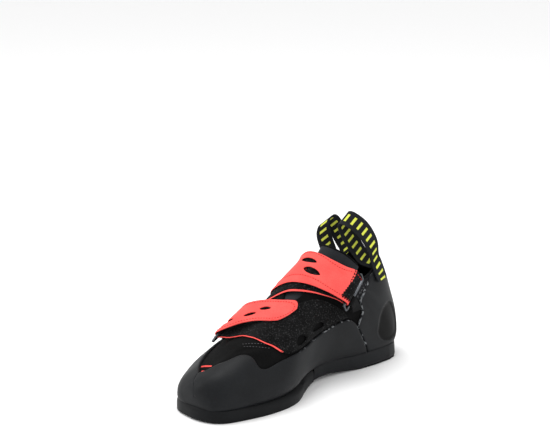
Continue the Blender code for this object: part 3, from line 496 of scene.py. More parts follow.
def stitch(name, seams, size, thread, seed):
    """Stitches along seams. The size gives their pitch, length and thickness."""
    points = np.vstack([seam[0] for seam in seams])
    ways = np.vstack([seam[1] for seam in seams])
    edges = []
    start = 0
    for line, _ in seams:
        edges += [(start + k, start + k + 1) for k in range(len(line) - 1)]
        start += len(line)
    mesh = bpy.data.meshes.new(name + "_line")
    mesh.from_pydata([tuple(p) for p in points], edges, [])
    outward = mesh.attributes.new("outward", "FLOAT_VECTOR", "POINT")
    outward.data.foreach_set("vector", ways.ravel().astype(np.float32))
    piece = bpy.data.objects.new(name, mesh)
    bpy.context.scene.collection.objects.link(piece)
    modifier = piece.modifiers.new("seam_stitches", "NODES")
    modifier.node_group = SEAM_TREE
    given = dict(zip(("Pitch", "Length", "Thickness"), size), Seed=seed, Thread=thread)
    for item in SEAM_TREE.interface.items_tree:
        if item.item_type == "SOCKET" and item.in_out == "INPUT" and item.name in given:
            modifier[item.identifier] = given[item.name]
    laid = bpy.data.meshes.new_from_object(piece.evaluated_get(bpy.context.evaluated_depsgraph_get()))
    laid.name = name
    piece.modifiers.remove(modifier)
    piece.data = laid
    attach(piece, "root")
    return piece


def seam_on_foot(line, height, spacing=1.0):
    """A seam through given stations and shares, at a height over the foot."""
    places = smooth_line(line, spacing)
    return seam(*(on_foot(places[:, 0], places[:, 1], h) for h in (height, height + MM)))


def soft_folds(places, folds):
    """Height of soft ridges and troughs: each runs between two places with a width and height."""
    flat = places * PATTERN_SCALE
    height = np.zeros(len(places))
    for start, end, width, rise in folds:
        a, b = np.array(start) * PATTERN_SCALE, np.array(end) * PATTERN_SCALE
        step = b - a
        along = ((flat - a) @ step) / (step @ step)
        gap = np.linalg.norm(flat - (a + np.clip(along, 0, 1)[:, None] * step), axis=1)
        height += rise * MM * np.exp(-(gap / width) ** 2)
    return height


BOTTOM_OPENING = ((1.6, 0), (2.5, .10), (4, .17), (8, .19), (10, .16), (13, .15), (14.2, .10), (14.7, 0))
THROAT = ((8.2, 1.0), (9, .93), (10, .90), (12, .86), (15, .80), (17, .74), (19, .66))
# The knitted zone of the collar starts at this station and reaches this share from the instep
KNIT_FROM = 14.2
KNIT_REACH = 0.62
SUEDE_BLACK = textile("black_suede", (0.0012, 0.0012, 0.0012), (0.0045, 0.0045, 0.0047),
                      900, 0.0, 0.95, 0.15 * MM, 0.015)
KNIT_GREY = textile("grey_knit", (0.003, 0.003, 0.0034), (0.017, 0.018, 0.020),
                    1500, 0.6, 0.95, 0.35 * MM, 0.05)
LINING = textile("dark_lining", (0.002, 0.002, 0.0022), (0.007, 0.007, 0.0075),
                 700, 0.0, 0.95, 0.15 * MM, 0.02)
whole = np.linspace(0, RIM, 150)
throat_run = np.linspace(8.2, RIM, 80)
rim_run = np.linspace(0, 1, 60)
upper_outline = (
    edge_line(whole, lambda s: read_table(BOTTOM_OPENING, s))
    + [(RIM, read_table(THROAT, RIM) * t) for t in rim_run[1:-1]]
    + edge_line(throat_run[::-1], lambda s: read_table(THROAT, s))
    + edge_line(throat_run[1:], lambda s: 2 - read_table(THROAT, s))
    + [(RIM, 2 - read_table(THROAT, RIM) * (1 - t)) for t in rim_run[1:-1]]
    + edge_line(whole[::-1], lambda s: 2 - read_table(BOTTOM_OPENING, s))
    + [(0.0, 2 - t) for t in np.linspace(0, 2, 120)[1:-1]]
)
upper_pattern = cut_pattern(upper_outline, spacing=2.0, edge=(0.3, 0.9))
# Creases of the worn upper: start, end, width and rise in millimetres
CREASES = (
    ((4.7, .97), (5.5, .86), 3.5, 1.0), ((5.1, 1.0), (5.9, .84), 2.0, -.5),
    ((3.4, 1.10), (5.0, 1.02), 4.0, .6), ((5.6, 1.16), (5.2, 1.02), 3.0, .6),
    ((12.6, .62), (14.6, .66), 3.0, .6), ((13.6, .66), (15.6, .70), 2.5, -.5),
    ((9.4, 1.45), (11.0, 1.40), 4.0, .6), ((13.4, 1.40), (15.2, 1.32), 3.5, .6),
    ((15.8, 1.42), (17.4, 1.36), 3.0, -.5),
)
upper_top = UPPER_WALL + soft_folds(upper_pattern[0], CREASES)
upper = sewn_piece("upper_shell", upper_pattern, on_foot, upper_top, 0.0, 0.9,
                   (SUEDE_BLACK, SUEDE_BLACK, LINING))
upper.data.materials.append(KNIT_GREY)
for face, (station, share) in zip(upper.data.polygons, face_places(upper)):
    if face.material_index == 0 and station > KNIT_FROM and abs(1 - share) < KNIT_REACH:
        face.material_index = EXTRA
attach(upper, "root")
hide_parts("upper")

# Two rows of grey thread cross the vamp, and one row follows the edge of the knitted zone
VAMP_STITCH = (2.4 * MM, 1.5 * MM, 0.55 * MM)
VAMP_SEAMS = (
    ((5.35, 1.02), (5.50, .97), (5.78, .89), (6.10, .82)),
    ((5.55, 1.03), (5.72, .97), (5.98, .90), (6.28, .83)),
)
COLLAR_STITCH = (3.6 * MM, 2.4 * MM, 0.8 * MM)
COLLAR_SEAMS = (((18.4, .45), (17.2, .555), (16.05, .615), (14.6, .645), (13.2, .60)),)
GREY_THREAD = textile("grey_thread", (0.05, 0.05, 0.052), (0.11, 0.11, 0.115), 2500, 0.0, 0.7, 0.02 * MM)
stitch("vamp_stitches", [seam_on_foot(line, UPPER_WALL + 0.25 * MM) for line in VAMP_SEAMS],
       VAMP_STITCH, GREY_THREAD, 11)
stitch("collar_stitches", [seam_on_foot(line, UPPER_WALL + 0.3 * MM) for line in COLLAR_SEAMS],
       COLLAR_STITCH, GREY_THREAD, 12)

# A corded binding is sewn round the edge of the collar and down both sides of the throat
BINDING_CORD = (1.1 * MM, 2.4 * MM, 2.5 * MM)
BINDING_END = 10.5
BINDING_INSET = .008
binding_seams = []
for side in (1, -1):
    rim_shares = np.linspace(.02, read_table(THROAT, RIM) - .01, 40)
    throat_stations = np.linspace(RIM - .2, BINDING_END, 50)
    stations = np.concatenate([np.full(40, RIM), throat_stations])
    shares = np.concatenate([rim_shares, read_table(THROAT, throat_stations) - BINDING_INSET]) * side
    binding_seams.append(seam(on_foot(stations, shares, UPPER_WALL * 0.55),
                              on_foot(stations, shares, UPPER_WALL + MM)))
stitch("collar_binding", binding_seams, BINDING_CORD, LINING, 13)

# Insole
# A thin stiff board inside the upper, cut flat and covered with a dark fabric. It closes the
# bottom opening and is glued to the upper's turned-in edge.

LAYER_GAP = 0.3 * MM
INSOLE = 2.0 * MM
INSOLE_EDGE = ((1.2, .06), (2.5, .18), (8, .24), (13, .21), (14.8, .05))
INSOLE_CLOTH = textile("insole_cloth", (0.010, 0.011, 0.012), (0.022, 0.023, 0.025),
                       1300, 0.1, 0.9, 0.12 * MM, 0.05)
insole_run = np.linspace(INSOLE_EDGE[0][0], INSOLE_EDGE[-1][0], 90)
insole_outline = (
    edge_line(insole_run, lambda s: -read_table(INSOLE_EDGE, s))
    + edge_line(insole_run[::-1], lambda s: read_table(INSOLE_EDGE, s))
)
insole_pattern = cut_pattern(insole_outline, spacing=2.5, edge=(0.4,))
insole = sewn_piece("insole_board", insole_pattern, on_foot, -LAYER_GAP, -LAYER_GAP - INSOLE, 0.3,
                    (INSOLE_CLOTH, INSOLE_CLOTH, INSOLE_CLOTH), back_radius=0.6)
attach(insole, "root")
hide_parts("insole")

# Tongue
# A padded tongue of dark grey microfibre, sewn in at the throat's end, with a narrow bound
# edge that stands above the collar.

TONGUE = 2.4 * MM
TONGUE_DIP = 0.25
TONGUE_EDGE = ((7.4, .93), (8.2, .88), (10, .80), (13, .72), (16, .64), (19, .56))
TONGUE_TUCK = ((11, 0), (13, .9), (15, 2.3), (16, 2.8), (17, 2.4), (19, 1.4))
TONGUE_FACE = textile("tongue_microfibre", (0.016, 0.0175, 0.020), (0.025, 0.027, 0.031), 1500, 0.0, 0.8,
                      0.06 * MM, 0.08)
TONGUE_SKIN = foot_sections(TONGUE_DIP)
# Beyond the throat the tongue's end runs on past the rim by this length, in this direction
TONGUE_REACH = 7.5 * MM
TONGUE_WAY = np.array((0.0, 0.60, 0.80))
TONGUE_GROWTH = ((15.2, 0), (16.2, .06), (16.8, .2), (17.5, .45), (18.2, .72), (19, 1))
tongue_run = np.linspace(TONGUE_EDGE[0][0], RIM, 90)
tongue_outline = (
    edge_line(tongue_run, lambda s: read_table(TONGUE_EDGE, s))
    + [(RIM, float(v)) for v in np.linspace(0.56, 1.44, 60)[1:-1]]
    + edge_line(tongue_run[::-1], lambda s: 2 - read_table(TONGUE_EDGE, s))
)
tongue_pattern = cut_pattern(tongue_outline, spacing=1.8, edge=(0.4, 1.1))


def on_tongue(stations, shares, heights):
    """Points over the tongue, whose end leans out past the rim."""
    lean = read_table(TONGUE_GROWTH, stations) * TONGUE_REACH
    return on_foot(stations, shares, heights, TONGUE_SKIN) + TONGUE_WAY * lean[:, None]


tongue_top = -LAYER_GAP - read_table(TONGUE_TUCK, tongue_pattern[0][:, 0]) * UPPER_WALL
tongue = sewn_piece("tongue_pad", tongue_pattern, on_tongue, tongue_top, tongue_top - TONGUE, 1.1,
                    (TONGUE_FACE, TONGUE_FACE, LINING), back_radius=1.0)
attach(tongue, "root")
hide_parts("tongue")

# A dark piping runs along the tongue's upper edge
PIPING_CORD = (0.9 * MM, 2.0 * MM, 1.5 * MM)
piping_shares = np.linspace(.60, 1.40, 70)
piping_stations = np.full(70, RIM)
piping_height = -LAYER_GAP - read_table(TONGUE_TUCK, RIM) * UPPER_WALL
piping_seam = seam(on_tongue(piping_stations, piping_shares, piping_height),
                   on_tongue(piping_stations, piping_shares, piping_height + MM))
stitch("tongue_piping", [piping_seam], PIPING_CORD, LINING, 14)

# Rands
# Black rubber sheet of nearly 2 mm, stretched over the glued upper. One piece wraps the toe
# and the sides and carries the patch over the big toe, the other is drawn tight round the heel.

RUBBER = 1.8 * MM
RAND_INSIDE = UPPER_WALL + LAYER_GAP
RAND_OUTSIDE = RAND_INSIDE + RUBBER
# The two rands meet at a thin seam between these stations
FRONT_END = 12.13
HEEL_START = 12.17
# Wear greys the cut edges: depths in millimetres between which it fades in, the size and share
# of its chips, and the span of the UV map, behind the toe, over which it sets in
WEAR_DEPTH = (0.9, 0.25)
CHIPS_PER_METRE = 260.0
CHIP_SPAN = (0.52, 0.62)
WORN_BEHIND = (0.36, 0.42)
WORN_GREY = (0.22, 0.23, 0.24)
RUBBER_FACE = textile("black_rubber", (0.0032, 0.0037, 0.0045), (0.0062, 0.0071, 0.0085),
                      900, 0.03, 0.5, 0.05 * MM, 0.02, 6.0, 0.15)


def wear_edges(material):
    """Light grey scuffs along the cut edges of the rand behind the forefoot."""
    tree = material.node_tree
    shader = tree.nodes["Principled BSDF"]
    base = shader.inputs["Base Color"].links[0].from_socket
    depth = add_node(tree, "ShaderNodeAttribute", attribute_name="edge_depth").outputs["Fac"]
    place = add_node(tree, "ShaderNodeTexCoord").outputs["Object"]
    chips = add_node(tree, "ShaderNodeTexNoise", {"Vector": place, "Scale": CHIPS_PER_METRE, "Detail": 3.0})
    pattern = add_node(tree, "ShaderNodeUVMap", uv_map="pattern").outputs["UV"]
    station = add_node(tree, "ShaderNodeSeparateXYZ", {0: pattern}).outputs["X"]
    worn = combine(tree, "MULTIPLY", scale_up(tree, depth, *WEAR_DEPTH),
                   scale_up(tree, chips.outputs["Fac"], *CHIP_SPAN))
    worn = combine(tree, "MULTIPLY", worn, scale_up(tree, station, *WORN_BEHIND))
    tree.links.new(mix_colours(tree, worn, base, WORN_GREY), shader.inputs["Base Color"])


wear_edges(RUBBER_FACE)
# The top edge from the point of the patch's notch, over the big toe and back to the arch
PATCH_EDGE = (
    (2.71, 1.20), (3.12, 1.11), (3.59, 1.07), (4.01, 1.02), (4.39, .98), (4.74, .95), (4.98, .91), (5.12, .86),
    (5.14, .81), (5.12, .76), (5.18, .72), (5.34, .695), (5.58, .682), (6.03, .675), (6.51, .66), (7.01, .64),
    (8.22, .59), (9.02, .555), (9.97, .525), (10.81, .52), (11.60, .512), (12.0, .485), (FRONT_END, .45),
)
OUTER_EDGE = ((FRONT_END, -.45), (11.8, -.50), (10.0, -.52), (8.0, -.56), (6.0, -.62), (4.2, -.68), (3.6, -.72),
              (2.71, -.80))


def swell(stations, shares):
    """Soft unevenness of the hand-laid rubber."""
    return 0.22 * MM * (np.sin(stations * 1.9 + 1.3) * np.sin(shares * 9.0 + stations * 0.6)
                        + 0.6 * np.sin(stations * 3.7) * np.sin(shares * 17 + 2.0))


front_run = np.linspace(0, 2.71, 30)
front_outline = (
    [(s, 1.20) for s in front_run[:-1]]
    + [tuple(p) for p in smooth_line(PATCH_EDGE, 1.0)]
    + [(FRONT_END, v) for v in np.linspace(.45, -.45, 70)[1:-1]]
    + [tuple(p) for p in smooth_line(OUTER_EDGE, 1.2)]
    + [(s, -.80) for s in front_run[::-1][1:]]
    + [(0.0, v) for v in np.linspace(-.80, 1.20, 120)[1:-1]]
)
front_pattern = cut_pattern(front_outline, spacing=1.7, edge=(0.3, 0.8))
# The rubber is smooth ahead of this station, where its pattern comes to a point
SMOOTH_TOE = 1.5
front_places = front_pattern[0]
front_top = RAND_OUTSIDE + swell(*front_places.T) * (front_places[:, 0] > SMOOTH_TOE)
front_rand = sewn_piece("toe_rand", front_pattern, on_foot, front_top, RAND_INSIDE, 0.9,
                        (RUBBER_FACE, RUBBER_FACE, RUBBER_FACE))
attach(front_rand, "root")
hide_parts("front_rand")

HEEL_EDGE = (
    (HEEL_START, .44), (12.7, .49), (13.4, .54), (14.0, .60), (14.5, .62), (15.5, .61), (16.5, .58), (17.5, .52),
    (18.4, .45), (18.95, .405),
)
RECESS = ((16.69, .26), (16.24, .36), (15.50, .40), (14.47, .40), (13.57, .34), (13.43, .27), (14.06, .22),
          (15.0, .18), (16.0, .20))
RECESS_DEPTH = 1.1 * MM
heel_side = [tuple(p) for p in smooth_line(HEEL_EDGE, 1.2)]
heel_outline = (
    heel_side
    + [(18.95, v) for v in np.linspace(.405, -.405, 60)[1:-1]]
    + [(s, -v) for s, v in heel_side[::-1]]
    + [(HEEL_START, v) for v in np.linspace(-.44, .44, 60)[1:-1]]
)
recess_lines = [smooth_line(RECESS, 1.0, True), smooth_line([(s, -v) for s, v in RECESS], 1.0, True)]
heel_pattern = cut_pattern(heel_outline, spacing=1.5, edge=(0.3, 0.8))


def recess_drop(places, lines, width):
    """How far into a recess each place lies, from 0 on the face to 1 on its floor."""
    drop = np.zeros(len(places))
    for line in lines:
        within = inside(places, line)
        depth = edge_distance(places * PATTERN_SCALE, [line * PATTERN_SCALE])
        drop = np.where(within, np.clip(depth / width, 0, 1), drop)
    return drop * drop * (3 - 2 * drop)


heel_drop = recess_drop(heel_pattern[0], recess_lines, 1.6)
heel_top = RAND_OUTSIDE + swell(*heel_pattern[0].T) - heel_drop * RECESS_DEPTH
heel_rand = sewn_piece("heel_rand_cup", heel_pattern, on_foot, heel_top, RAND_INSIDE, 0.9,
                       (RUBBER_FACE, RUBBER_FACE, RUBBER_FACE))
RECESS_RUBBER = textile("recess_rubber", (0.0012, 0.0012, 0.0013), (0.003, 0.003, 0.0032),
                        500, 0.0, 0.5, 0.04 * MM)
heel_rand.data.materials.append(RECESS_RUBBER)
in_recess = recess_drop(np.array(face_places(heel_rand)), recess_lines, 0.8) > 0.4
for face, sunk in zip(heel_rand.data.polygons, in_recess):
    if sunk and face.material_index == 0:
        face.material_index = EXTRA
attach(heel_rand, "root")
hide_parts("heel_rand")

# Soles
# A half sole of sticky rubber under the forefoot, ground to a crisp edge round the toe, and
# a second sole that runs on under the arch and turns up round the heel. Both are glued on.

SOLE = 5.0 * MM
SOLE_TOP = RAND_OUTSIDE + LAYER_GAP
# How far the soles reach up the rand past their thickness, with a feathered lip in front
SOLE_RIM = 2.0 * MM
SOLE_LIP = 2.6 * MM
HEEL_RIM = 8.0 * MM
SOLE_EDGE = 0.6 * MM
# Height of the upright edge and radius of its lower corner, round the toe and round the heel
TOE_WALL = 6.3 * MM
HEEL_WALL = 5.0 * MM
TOE_BEVEL = 0.5 * MM
HEEL_BEVEL = 3.0 * MM
BEVEL_TURNS = (0, 0.5, 1.05, math.pi / 2)
# The share of the edge's own height that its wall may take, and where the lip leaves the wall
WALL_SHARE = 0.8
LIP_BLEND = (0.2, 0.5)
LIP_RISE = 0.8 * MM
SOLE_SPRING = ((0.00, 1.2), (0.02, .5), (0.05, .05), (0.08, 0), (0.26, 0), (0.33, .35), (0.40, .75),
               (0.47, .80), (0.54, .35), (0.60, 0), (0.93, 0), (0.97, .04), (1.0, .16), (1.05, .4))
SOLE_RUBBER = textile("sole_rubber", (0.0024, 0.0027, 0.0032), (0.0044, 0.0050, 0.0059),
                      900, 0.03, 0.5, 0.05 * MM, 0.015, 6.0, 0.12)


def underside(y):
    """Height of the sole's underside above the floor."""
    return read_table(SOLE_SPRING, (LAST_LENGTH / 2 - LAST_CENTRE[1] - y) / LAST_LENGTH) * SOLE


def rim_height(station):
    """How far the sole reaches up the rand: a low rim in front, a higher one round the heel."""
    lip = SOLE_RIM + SOLE_LIP
    return lip + (HEEL_RIM - lip) * read_table(((9, 0), (10.2, .35), (12, 1)), station)


def sole_edge_shares(stations, side):
    """Shares at which the rand meets the top of the sole's rim."""
    shares = np.linspace(0, 0.45, 181)
    found = []
    for station in stations:
        points = on_foot(station, shares * side, SOLE_TOP)
        above = points[:, 2] - underside(points[:, 1]) - SOLE - rim_height(station)
        first = int(np.argmax(above >= 0)) if (above >= 0).any() else len(shares) - 1
        if first == 0:
            found.append(0.0)
            continue
        t = above[first - 1] / (above[first - 1] - above[first])
        found.append(float(shares[first - 1] + t * (shares[first] - shares[first - 1])))
    return np.array(found)


# How far a sole's rim reaches out to the rand's outline in plan, by station
RIM_REACH = ((0, 1), (6.0, 1), (7.2, .8), (8.4, .35), (9.0, .15), (9.1, 0), (11, 0), (12.5, 1))
forefoot_sides = {}
for side in (-1, 1):
    rings = [on_foot(station, np.linspace(0.05, 0.75, 71) * side, RAND_OUTSIDE + SOLE_EDGE)
             for station in np.linspace(0, 9.6, 97)]
    forefoot_sides[side] = [ring[np.argmax(ring[:, 0] * side)][:2] for ring in rings]
forefoot_plan = np.array(forefoot_sides[-1][::-1] + forefoot_sides[1])
heel_points = np.vstack([on_foot(station, np.linspace(-0.5, 0.5, 61), SOLE_TOP)
                         for station in np.arange(11, 16.1, 0.5)])
heel_points = [Vector(p[:2]) for p in heel_points[heel_points[:, 2] < BASE + HEEL_RIM]]
heel_ring = [heel_points[k] for k in convex_hull_2d(heel_points)]
heel_plan = np.array([tuple(p) for p in [*heel_ring, heel_ring[0]]])


UP = np.array((0.0, 0.0, 1.0))


def sole_piece(name, stations, outline, rubber):
    """A sole: its top follows the rand, its edge stands upright and its tread is flat."""
    edges = {side: sole_edge_shares(stations, side) for side in (1, -1)}
    spread = np.linspace(-1, 1, 61)
    rows = []
    for k, station in enumerate(stations):
        sides = np.where(spread >= 0, 1, -1)
        limit = np.where(spread >= 0, edges[1][k], edges[-1][k])
        top = on_foot(station, np.abs(spread) * limit * sides, SOLE_TOP)
        shift = np.zeros((len(spread), 2))
        for side in (1, -1):
            rim = top[-1 if side > 0 else 0][:2]
            step = outline[1:] - outline[:-1]
            size = np.maximum((step ** 2).sum(axis=1), 1e-12)
            t = np.clip(((rim - outline[:-1]) * step).sum(axis=1) / size, 0, 1)
            spots = outline[:-1] + step * t[:, None]
            nearest = spots[np.argmin(np.linalg.norm(spots - rim, axis=1))]
            shift[sides == side] = (nearest - rim) * read_table(RIM_REACH, station)
        under = top.copy()
        under[:, :2] += shift * (np.abs(spread) ** 3)[:, None]
        under[:, 2] = underside(under[:, 1])
        middle = under.mean(axis=0)
        bevel = read_table(((9.5, TOE_BEVEL), (12, HEEL_BEVEL)), station)
        wall = read_table(((9, TOE_WALL), (12, HEEL_WALL)), station)
        blend = read_table(((9.5, LIP_BLEND[0]), (12, LIP_BLEND[1])), station)
        walls = []
        for end in (0, -1):
            out = under[end] - middle
            out[2] = 0
            out /= max(np.linalg.norm(out), TINY)
            ledge = under[end].copy()
            ledge[2] += min(wall, (top[end][2] - ledge[2]) * WALL_SHARE)
            corner = [under[end] + out * bevel * (math.cos(turn) - 1) + UP * bevel * (1 - math.sin(turn))
                      for turn in BEVEL_TURNS]
            lip = ledge * (1 - blend) + top[end] * blend + UP * LIP_RISE
            walls.append([lip, ledge - UP * LIP_RISE / 2, *corner])
        rows.append([*walls[0], *under[1:-1], *walls[1][::-1], *top[::-1]])
    grid = np.array(rows)
    count = grid.shape[1]
    faces = []
    for i in range(len(grid) - 1):
        for j in range(count):
            a, b = i * count + j, i * count + (j + 1) % count
            faces.append((a, b, b + count, a + count))
    faces.append(tuple(range(count))[::-1])
    faces.append(tuple(range((len(grid) - 1) * count, len(grid) * count)))
    mesh = bpy.data.meshes.new(name)
    mesh.from_pydata([tuple(p) for p in grid.reshape(-1, 3)], [], faces)
    mesh.materials.append(rubber)
    welded = bmesh.new()
    welded.from_mesh(mesh)
    bmesh.ops.remove_doubles(welded, verts=welded.verts, dist=WELD)
    bmesh.ops.triangulate(welded, faces=[f for f in welded.faces if len(f.verts) > 4])
    bmesh.ops.recalc_face_normals(welded, faces=welded.faces)
    welded.to_mesh(mesh)
    welded.free()
    mesh.shade_smooth()
    mesh.set_sharp_from_angle(angle=math.radians(38))
    piece = bpy.data.objects.new(name, mesh)
    bpy.context.scene.collection.objects.link(piece)
    return piece


def sole_start(low, high):
    """Station between two where the sole's rim runs out, found by halving."""
    for _ in range(26):
        middle = (low + high) / 2
        if sole_edge_shares([middle], 1)[0] > 0:
            low = middle
        else:
            high = middle
    return low


toe_start = sole_start(3.0, 0.8)
front_stations = np.concatenate([toe_start + np.array((0, .01, .03, .06, .1, .15, .2)),
                                 np.linspace(toe_start + .27, 9.0, 130)])
front_sole = sole_piece("half_sole", front_stations, forefoot_plan, SOLE_RUBBER)
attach(front_sole, "root")
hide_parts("front_sole")

heel_stop = sole_start(13.0, 16.5)
heel_stations = np.concatenate([np.linspace(9.1, heel_stop - .25, 90),
                                heel_stop - np.array((.18, .12, .08, .04, .02, 0))])
heel_sole = sole_piece("heel_sole_piece", heel_stations, heel_plan, RUBBER_FACE)
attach(heel_sole, "root")
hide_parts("heel_sole")

# Straps
# Two coral microfibre straps faced with black loop fabric. Each is sewn in beside the rand,
# crosses the instep, turns round its ring and closes back on itself, coral side out.

RING_WIRE = 2.2 * MM
STRAP = 1.4 * MM
STRAP_GAP = 0.5 * MM
FOLD_RADIUS = RING_WIRE / 2 + STRAP_GAP + STRAP / 2
STRAP_REST = UPPER_WALL + STRAP_GAP + STRAP / 2
OVER_REST = STRAP_REST + STRAP + STRAP_GAP
LOWER_LIFT = 5.5 * MM
UPPER_LIFT = 5.0 * MM
FOLD_STEPS = 8
LOWER_TURN = 1
UPPER_TURN = -1
# Share of the girth, lift as a share of the fold's own, front edge and rear edge as stations
LOWER_UNDER = (
    (.53, 0, 10.2, 11.7), (.56, 0, 9.3, 11.65), (.60, 0, 8.35, 11.5), (.64, 0, 7.4, 11.2),
    (.67, 0, 6.85, 10.95), (.70, 0, 6.6, 10.7), (.75, 0, 6.40, 10.3), (.80, 0, 6.28, 9.85),
    (.86, 0, 6.12, 9.2), (.92, 0, 6.03, 8.6), (.98, 0, 6.0, 8.4), (1.04, 0, 6.0, 8.35),
    (1.10, .02, 6.02, 8.3), (1.16, .15, 5.9, 8.2), (1.21, .5, 5.75, 8.1), (1.25, 1.0, 5.62, 8.0),
)
LOWER_OVER = (
    (1.21, .92, 5.85, 8.05), (1.16, .70, 6.25, 8.15), (1.10, .35, 6.7, 8.3), (1.04, .10, 6.95, 8.4),
    (.99, 0, 7.08, 8.5), (.95, 0, 7.2, 8.65), (.92, 0, 7.35, 8.8), (.90, 0, 7.6, 8.85),
    (.885, 0, 7.95, 8.8), (.875, 0, 8.25, 8.65),
)
UPPER_UNDER = (
    (1.44, 0, 9.6, 13.0), (1.36, 0, 9.2, 13.3), (1.28, 0, 8.9, 13.7), (1.20, 0, 8.75, 14.2),
    (1.12, 0, 8.85, 14.7), (1.05, 0, 9.05, 15.1), (.98, 0, 9.2, 15.4), (.91, .03, 9.5, 15.8),
    (.84, .15, 9.95, 16.2), (.77, .45, 10.5, 16.7), (.71, .85, 11.1, 17.1), (.67, 1.0, 11.5, 17.4),
)
UPPER_OVER = (
    (.71, .92, 11.2, 17.2), (.77, .60, 10.75, 16.9), (.84, .28, 10.3, 16.5), (.91, .08, 9.95, 16.1),
    (.98, 0, 9.7, 15.8), (1.05, 0, 9.6, 15.5), (1.12, 0, 9.5, 15.1), (1.20, 0, 9.45, 14.7),
    (1.28, 0, 9.6, 14.2), (1.34, 0, 9.9, 13.7), (1.37, 0, 10.3, 13.3),
)
STRAP_COLUMNS = 9
STRAP_ROWS_FINE = 400
STRAP_COLUMNS_FINE = 60


def line_between(start, end, columns):
    return start + (end - start) * np.linspace(0, 1, columns)[:, None]


def strap_row(share, height, front, rear, straight):
    curved = on_foot(np.linspace(front, rear, STRAP_COLUMNS), share, height)
    return curved * (1 - straight) + line_between(curved[0], curved[-1], STRAP_COLUMNS) * straight


def fold_bar(under, lift, turn):
    """The line a strap folds round: its ends, the way out of the foot and the way on."""
    share, _, front, rear = under[-1]
    height = STRAP_REST + lift + FOLD_RADIUS
    start, end = on_foot(np.array((front, rear)), share, height)
    along = (end - start) / np.linalg.norm(end - start)
    middle = (front + rear) / 2
    before, after = on_foot(middle, np.array((share - 0.05 * turn, share + 0.05 * turn)), height)
    out = np.cross(along, after - before) * turn
    out /= np.linalg.norm(out)
    return start, end, out, np.cross(out, along) * turn


def fine_sheet(rows, row_count, column_count=None, turn=1):
    """A fine grid through rows of points, with its directions and its walked length."""
    rows = np.array(rows)
    width = rows.shape[1]
    knots = walked_along(rows[:, width // 2])
    fine = np.linspace(0, knots[-1], row_count)
    dense = curve_through(knots, rows.reshape(len(rows), -1), fine).reshape(-1, width, 3)
    if column_count:
        turned = dense.transpose(1, 0, 2).reshape(width, -1)
        dense = curve_through(np.arange(width, dtype=float), turned, np.linspace(0, width - 1, column_count))
        dense = dense.reshape(column_count, -1, 3).transpose(1, 0, 2)
    normals = np.cross(np.gradient(dense, axis=0), np.gradient(dense, axis=1)) * turn
    return dense, unit(normals), knots, fine


def strap_sheet(under, over, lift, turn):
    """The middle of a strap as a fine grid, with its directions and its walked length."""
    start, end, out, ahead = fold_bar(under, lift, turn)
    bar = line_between(start, end, STRAP_COLUMNS)
    rows = [strap_row(v, STRAP_REST + rise * lift, front, rear, rise)
            for v, rise, front, rear in under[:-1]]
    for k in range(FOLD_STEPS + 1):
        angle = math.pi * k / FOLD_STEPS
        rows.append(bar + (ahead * math.sin(angle) - out * math.cos(angle)) * FOLD_RADIUS)
    top = STRAP_REST + lift + 2 * FOLD_RADIUS
    rows += [strap_row(v, OVER_REST + rise * (top - OVER_REST), front, rear, rise)
             for v, rise, front, rear in over]
    return fine_sheet(rows, STRAP_ROWS_FINE, STRAP_COLUMNS_FINE, -turn)


def on_strap(sheet, walked, across, heights):
    """Points over a strap's middle: walked is metres from its sewn end, across runs from
    its front edge to its rear edge, and heights go towards its coral side when negative."""
    row = np.clip(walked / sheet[3][-1], 0, 1) * (sheet[0].shape[0] - 1)
    column = np.clip(across, 0, 1) * (sheet[0].shape[1] - 1)
    return over_grid(sheet, row, column, heights)


lower_sheet = strap_sheet(LOWER_UNDER, LOWER_OVER, LOWER_LIFT, LOWER_TURN)
upper_sheet = strap_sheet(UPPER_UNDER, UPPER_OVER, UPPER_LIFT, UPPER_TURN)

CORAL = textile("coral_microfibre", (0.80, 0.078, 0.070), (0.95, 0.115, 0.100),
                1400, 0.0, 0.8, 0.08 * MM, 0.04)
LOOP_BLACK = textile("loop_black", (0.0008, 0.0008, 0.0008), (0.0075, 0.0076, 0.0080),
                     1500, 0.75, 0.98, 0.5 * MM, 0.03)
HOOK_GREY = textile("hook_grey", (0.05, 0.055, 0.06), (0.16, 0.17, 0.18), 1600, 0.0, 0.7, 0.3 * MM)
# The coral layer lies under the loop fabric, which stops this far inside its edges
CORAL_LAYER = 0.75 * MM
LOOP_INSET = 0.55 * MM
# Millimetres on a strap's pattern for a metre along it and for its whole width
STRAP_SCALE = np.array((1000.0, 30.0))
STRAP_SPACING = 1.5
STRAP_EDGE = (0.25, 0.6)
# Outside of the straps the loop fabric hides the coral layer, but for this share at the front
CORAL_SHOWS = 0.05


def lens(start, end, half_width, count):
    """A lens-shaped cut between two places on a strap, in millimetres along and across."""
    a, b = np.array(start), np.array(end)
    way = (b - a) / np.linalg.norm(b - a)
    side = np.array((-way[1], way[0])) * half_width
    half_length = np.linalg.norm(b - a) / 2
    line = [(a + b) / 2 + way * half_length * math.cos(t) + side * math.sin(t) * abs(math.sin(t)) ** 0.3
            for t in np.linspace(0, 2 * math.pi, count, endpoint=False)]
    return [(point[0] * MM, point[1] / STRAP_SCALE[1]) for point in line]


def slot(walked, across, half_length, half_width):
    """A lens-shaped slot along a strap, in millimetres but for its share across."""
    level = across * STRAP_SCALE[1]
    return lens((walked - half_length, level), (walked + half_length, level), half_width, 28)


# Width of the straps for the insets at their sides, and how square their free ends are
STRAP_WIDTH = 28 * MM
END_SQUARE = 2.2


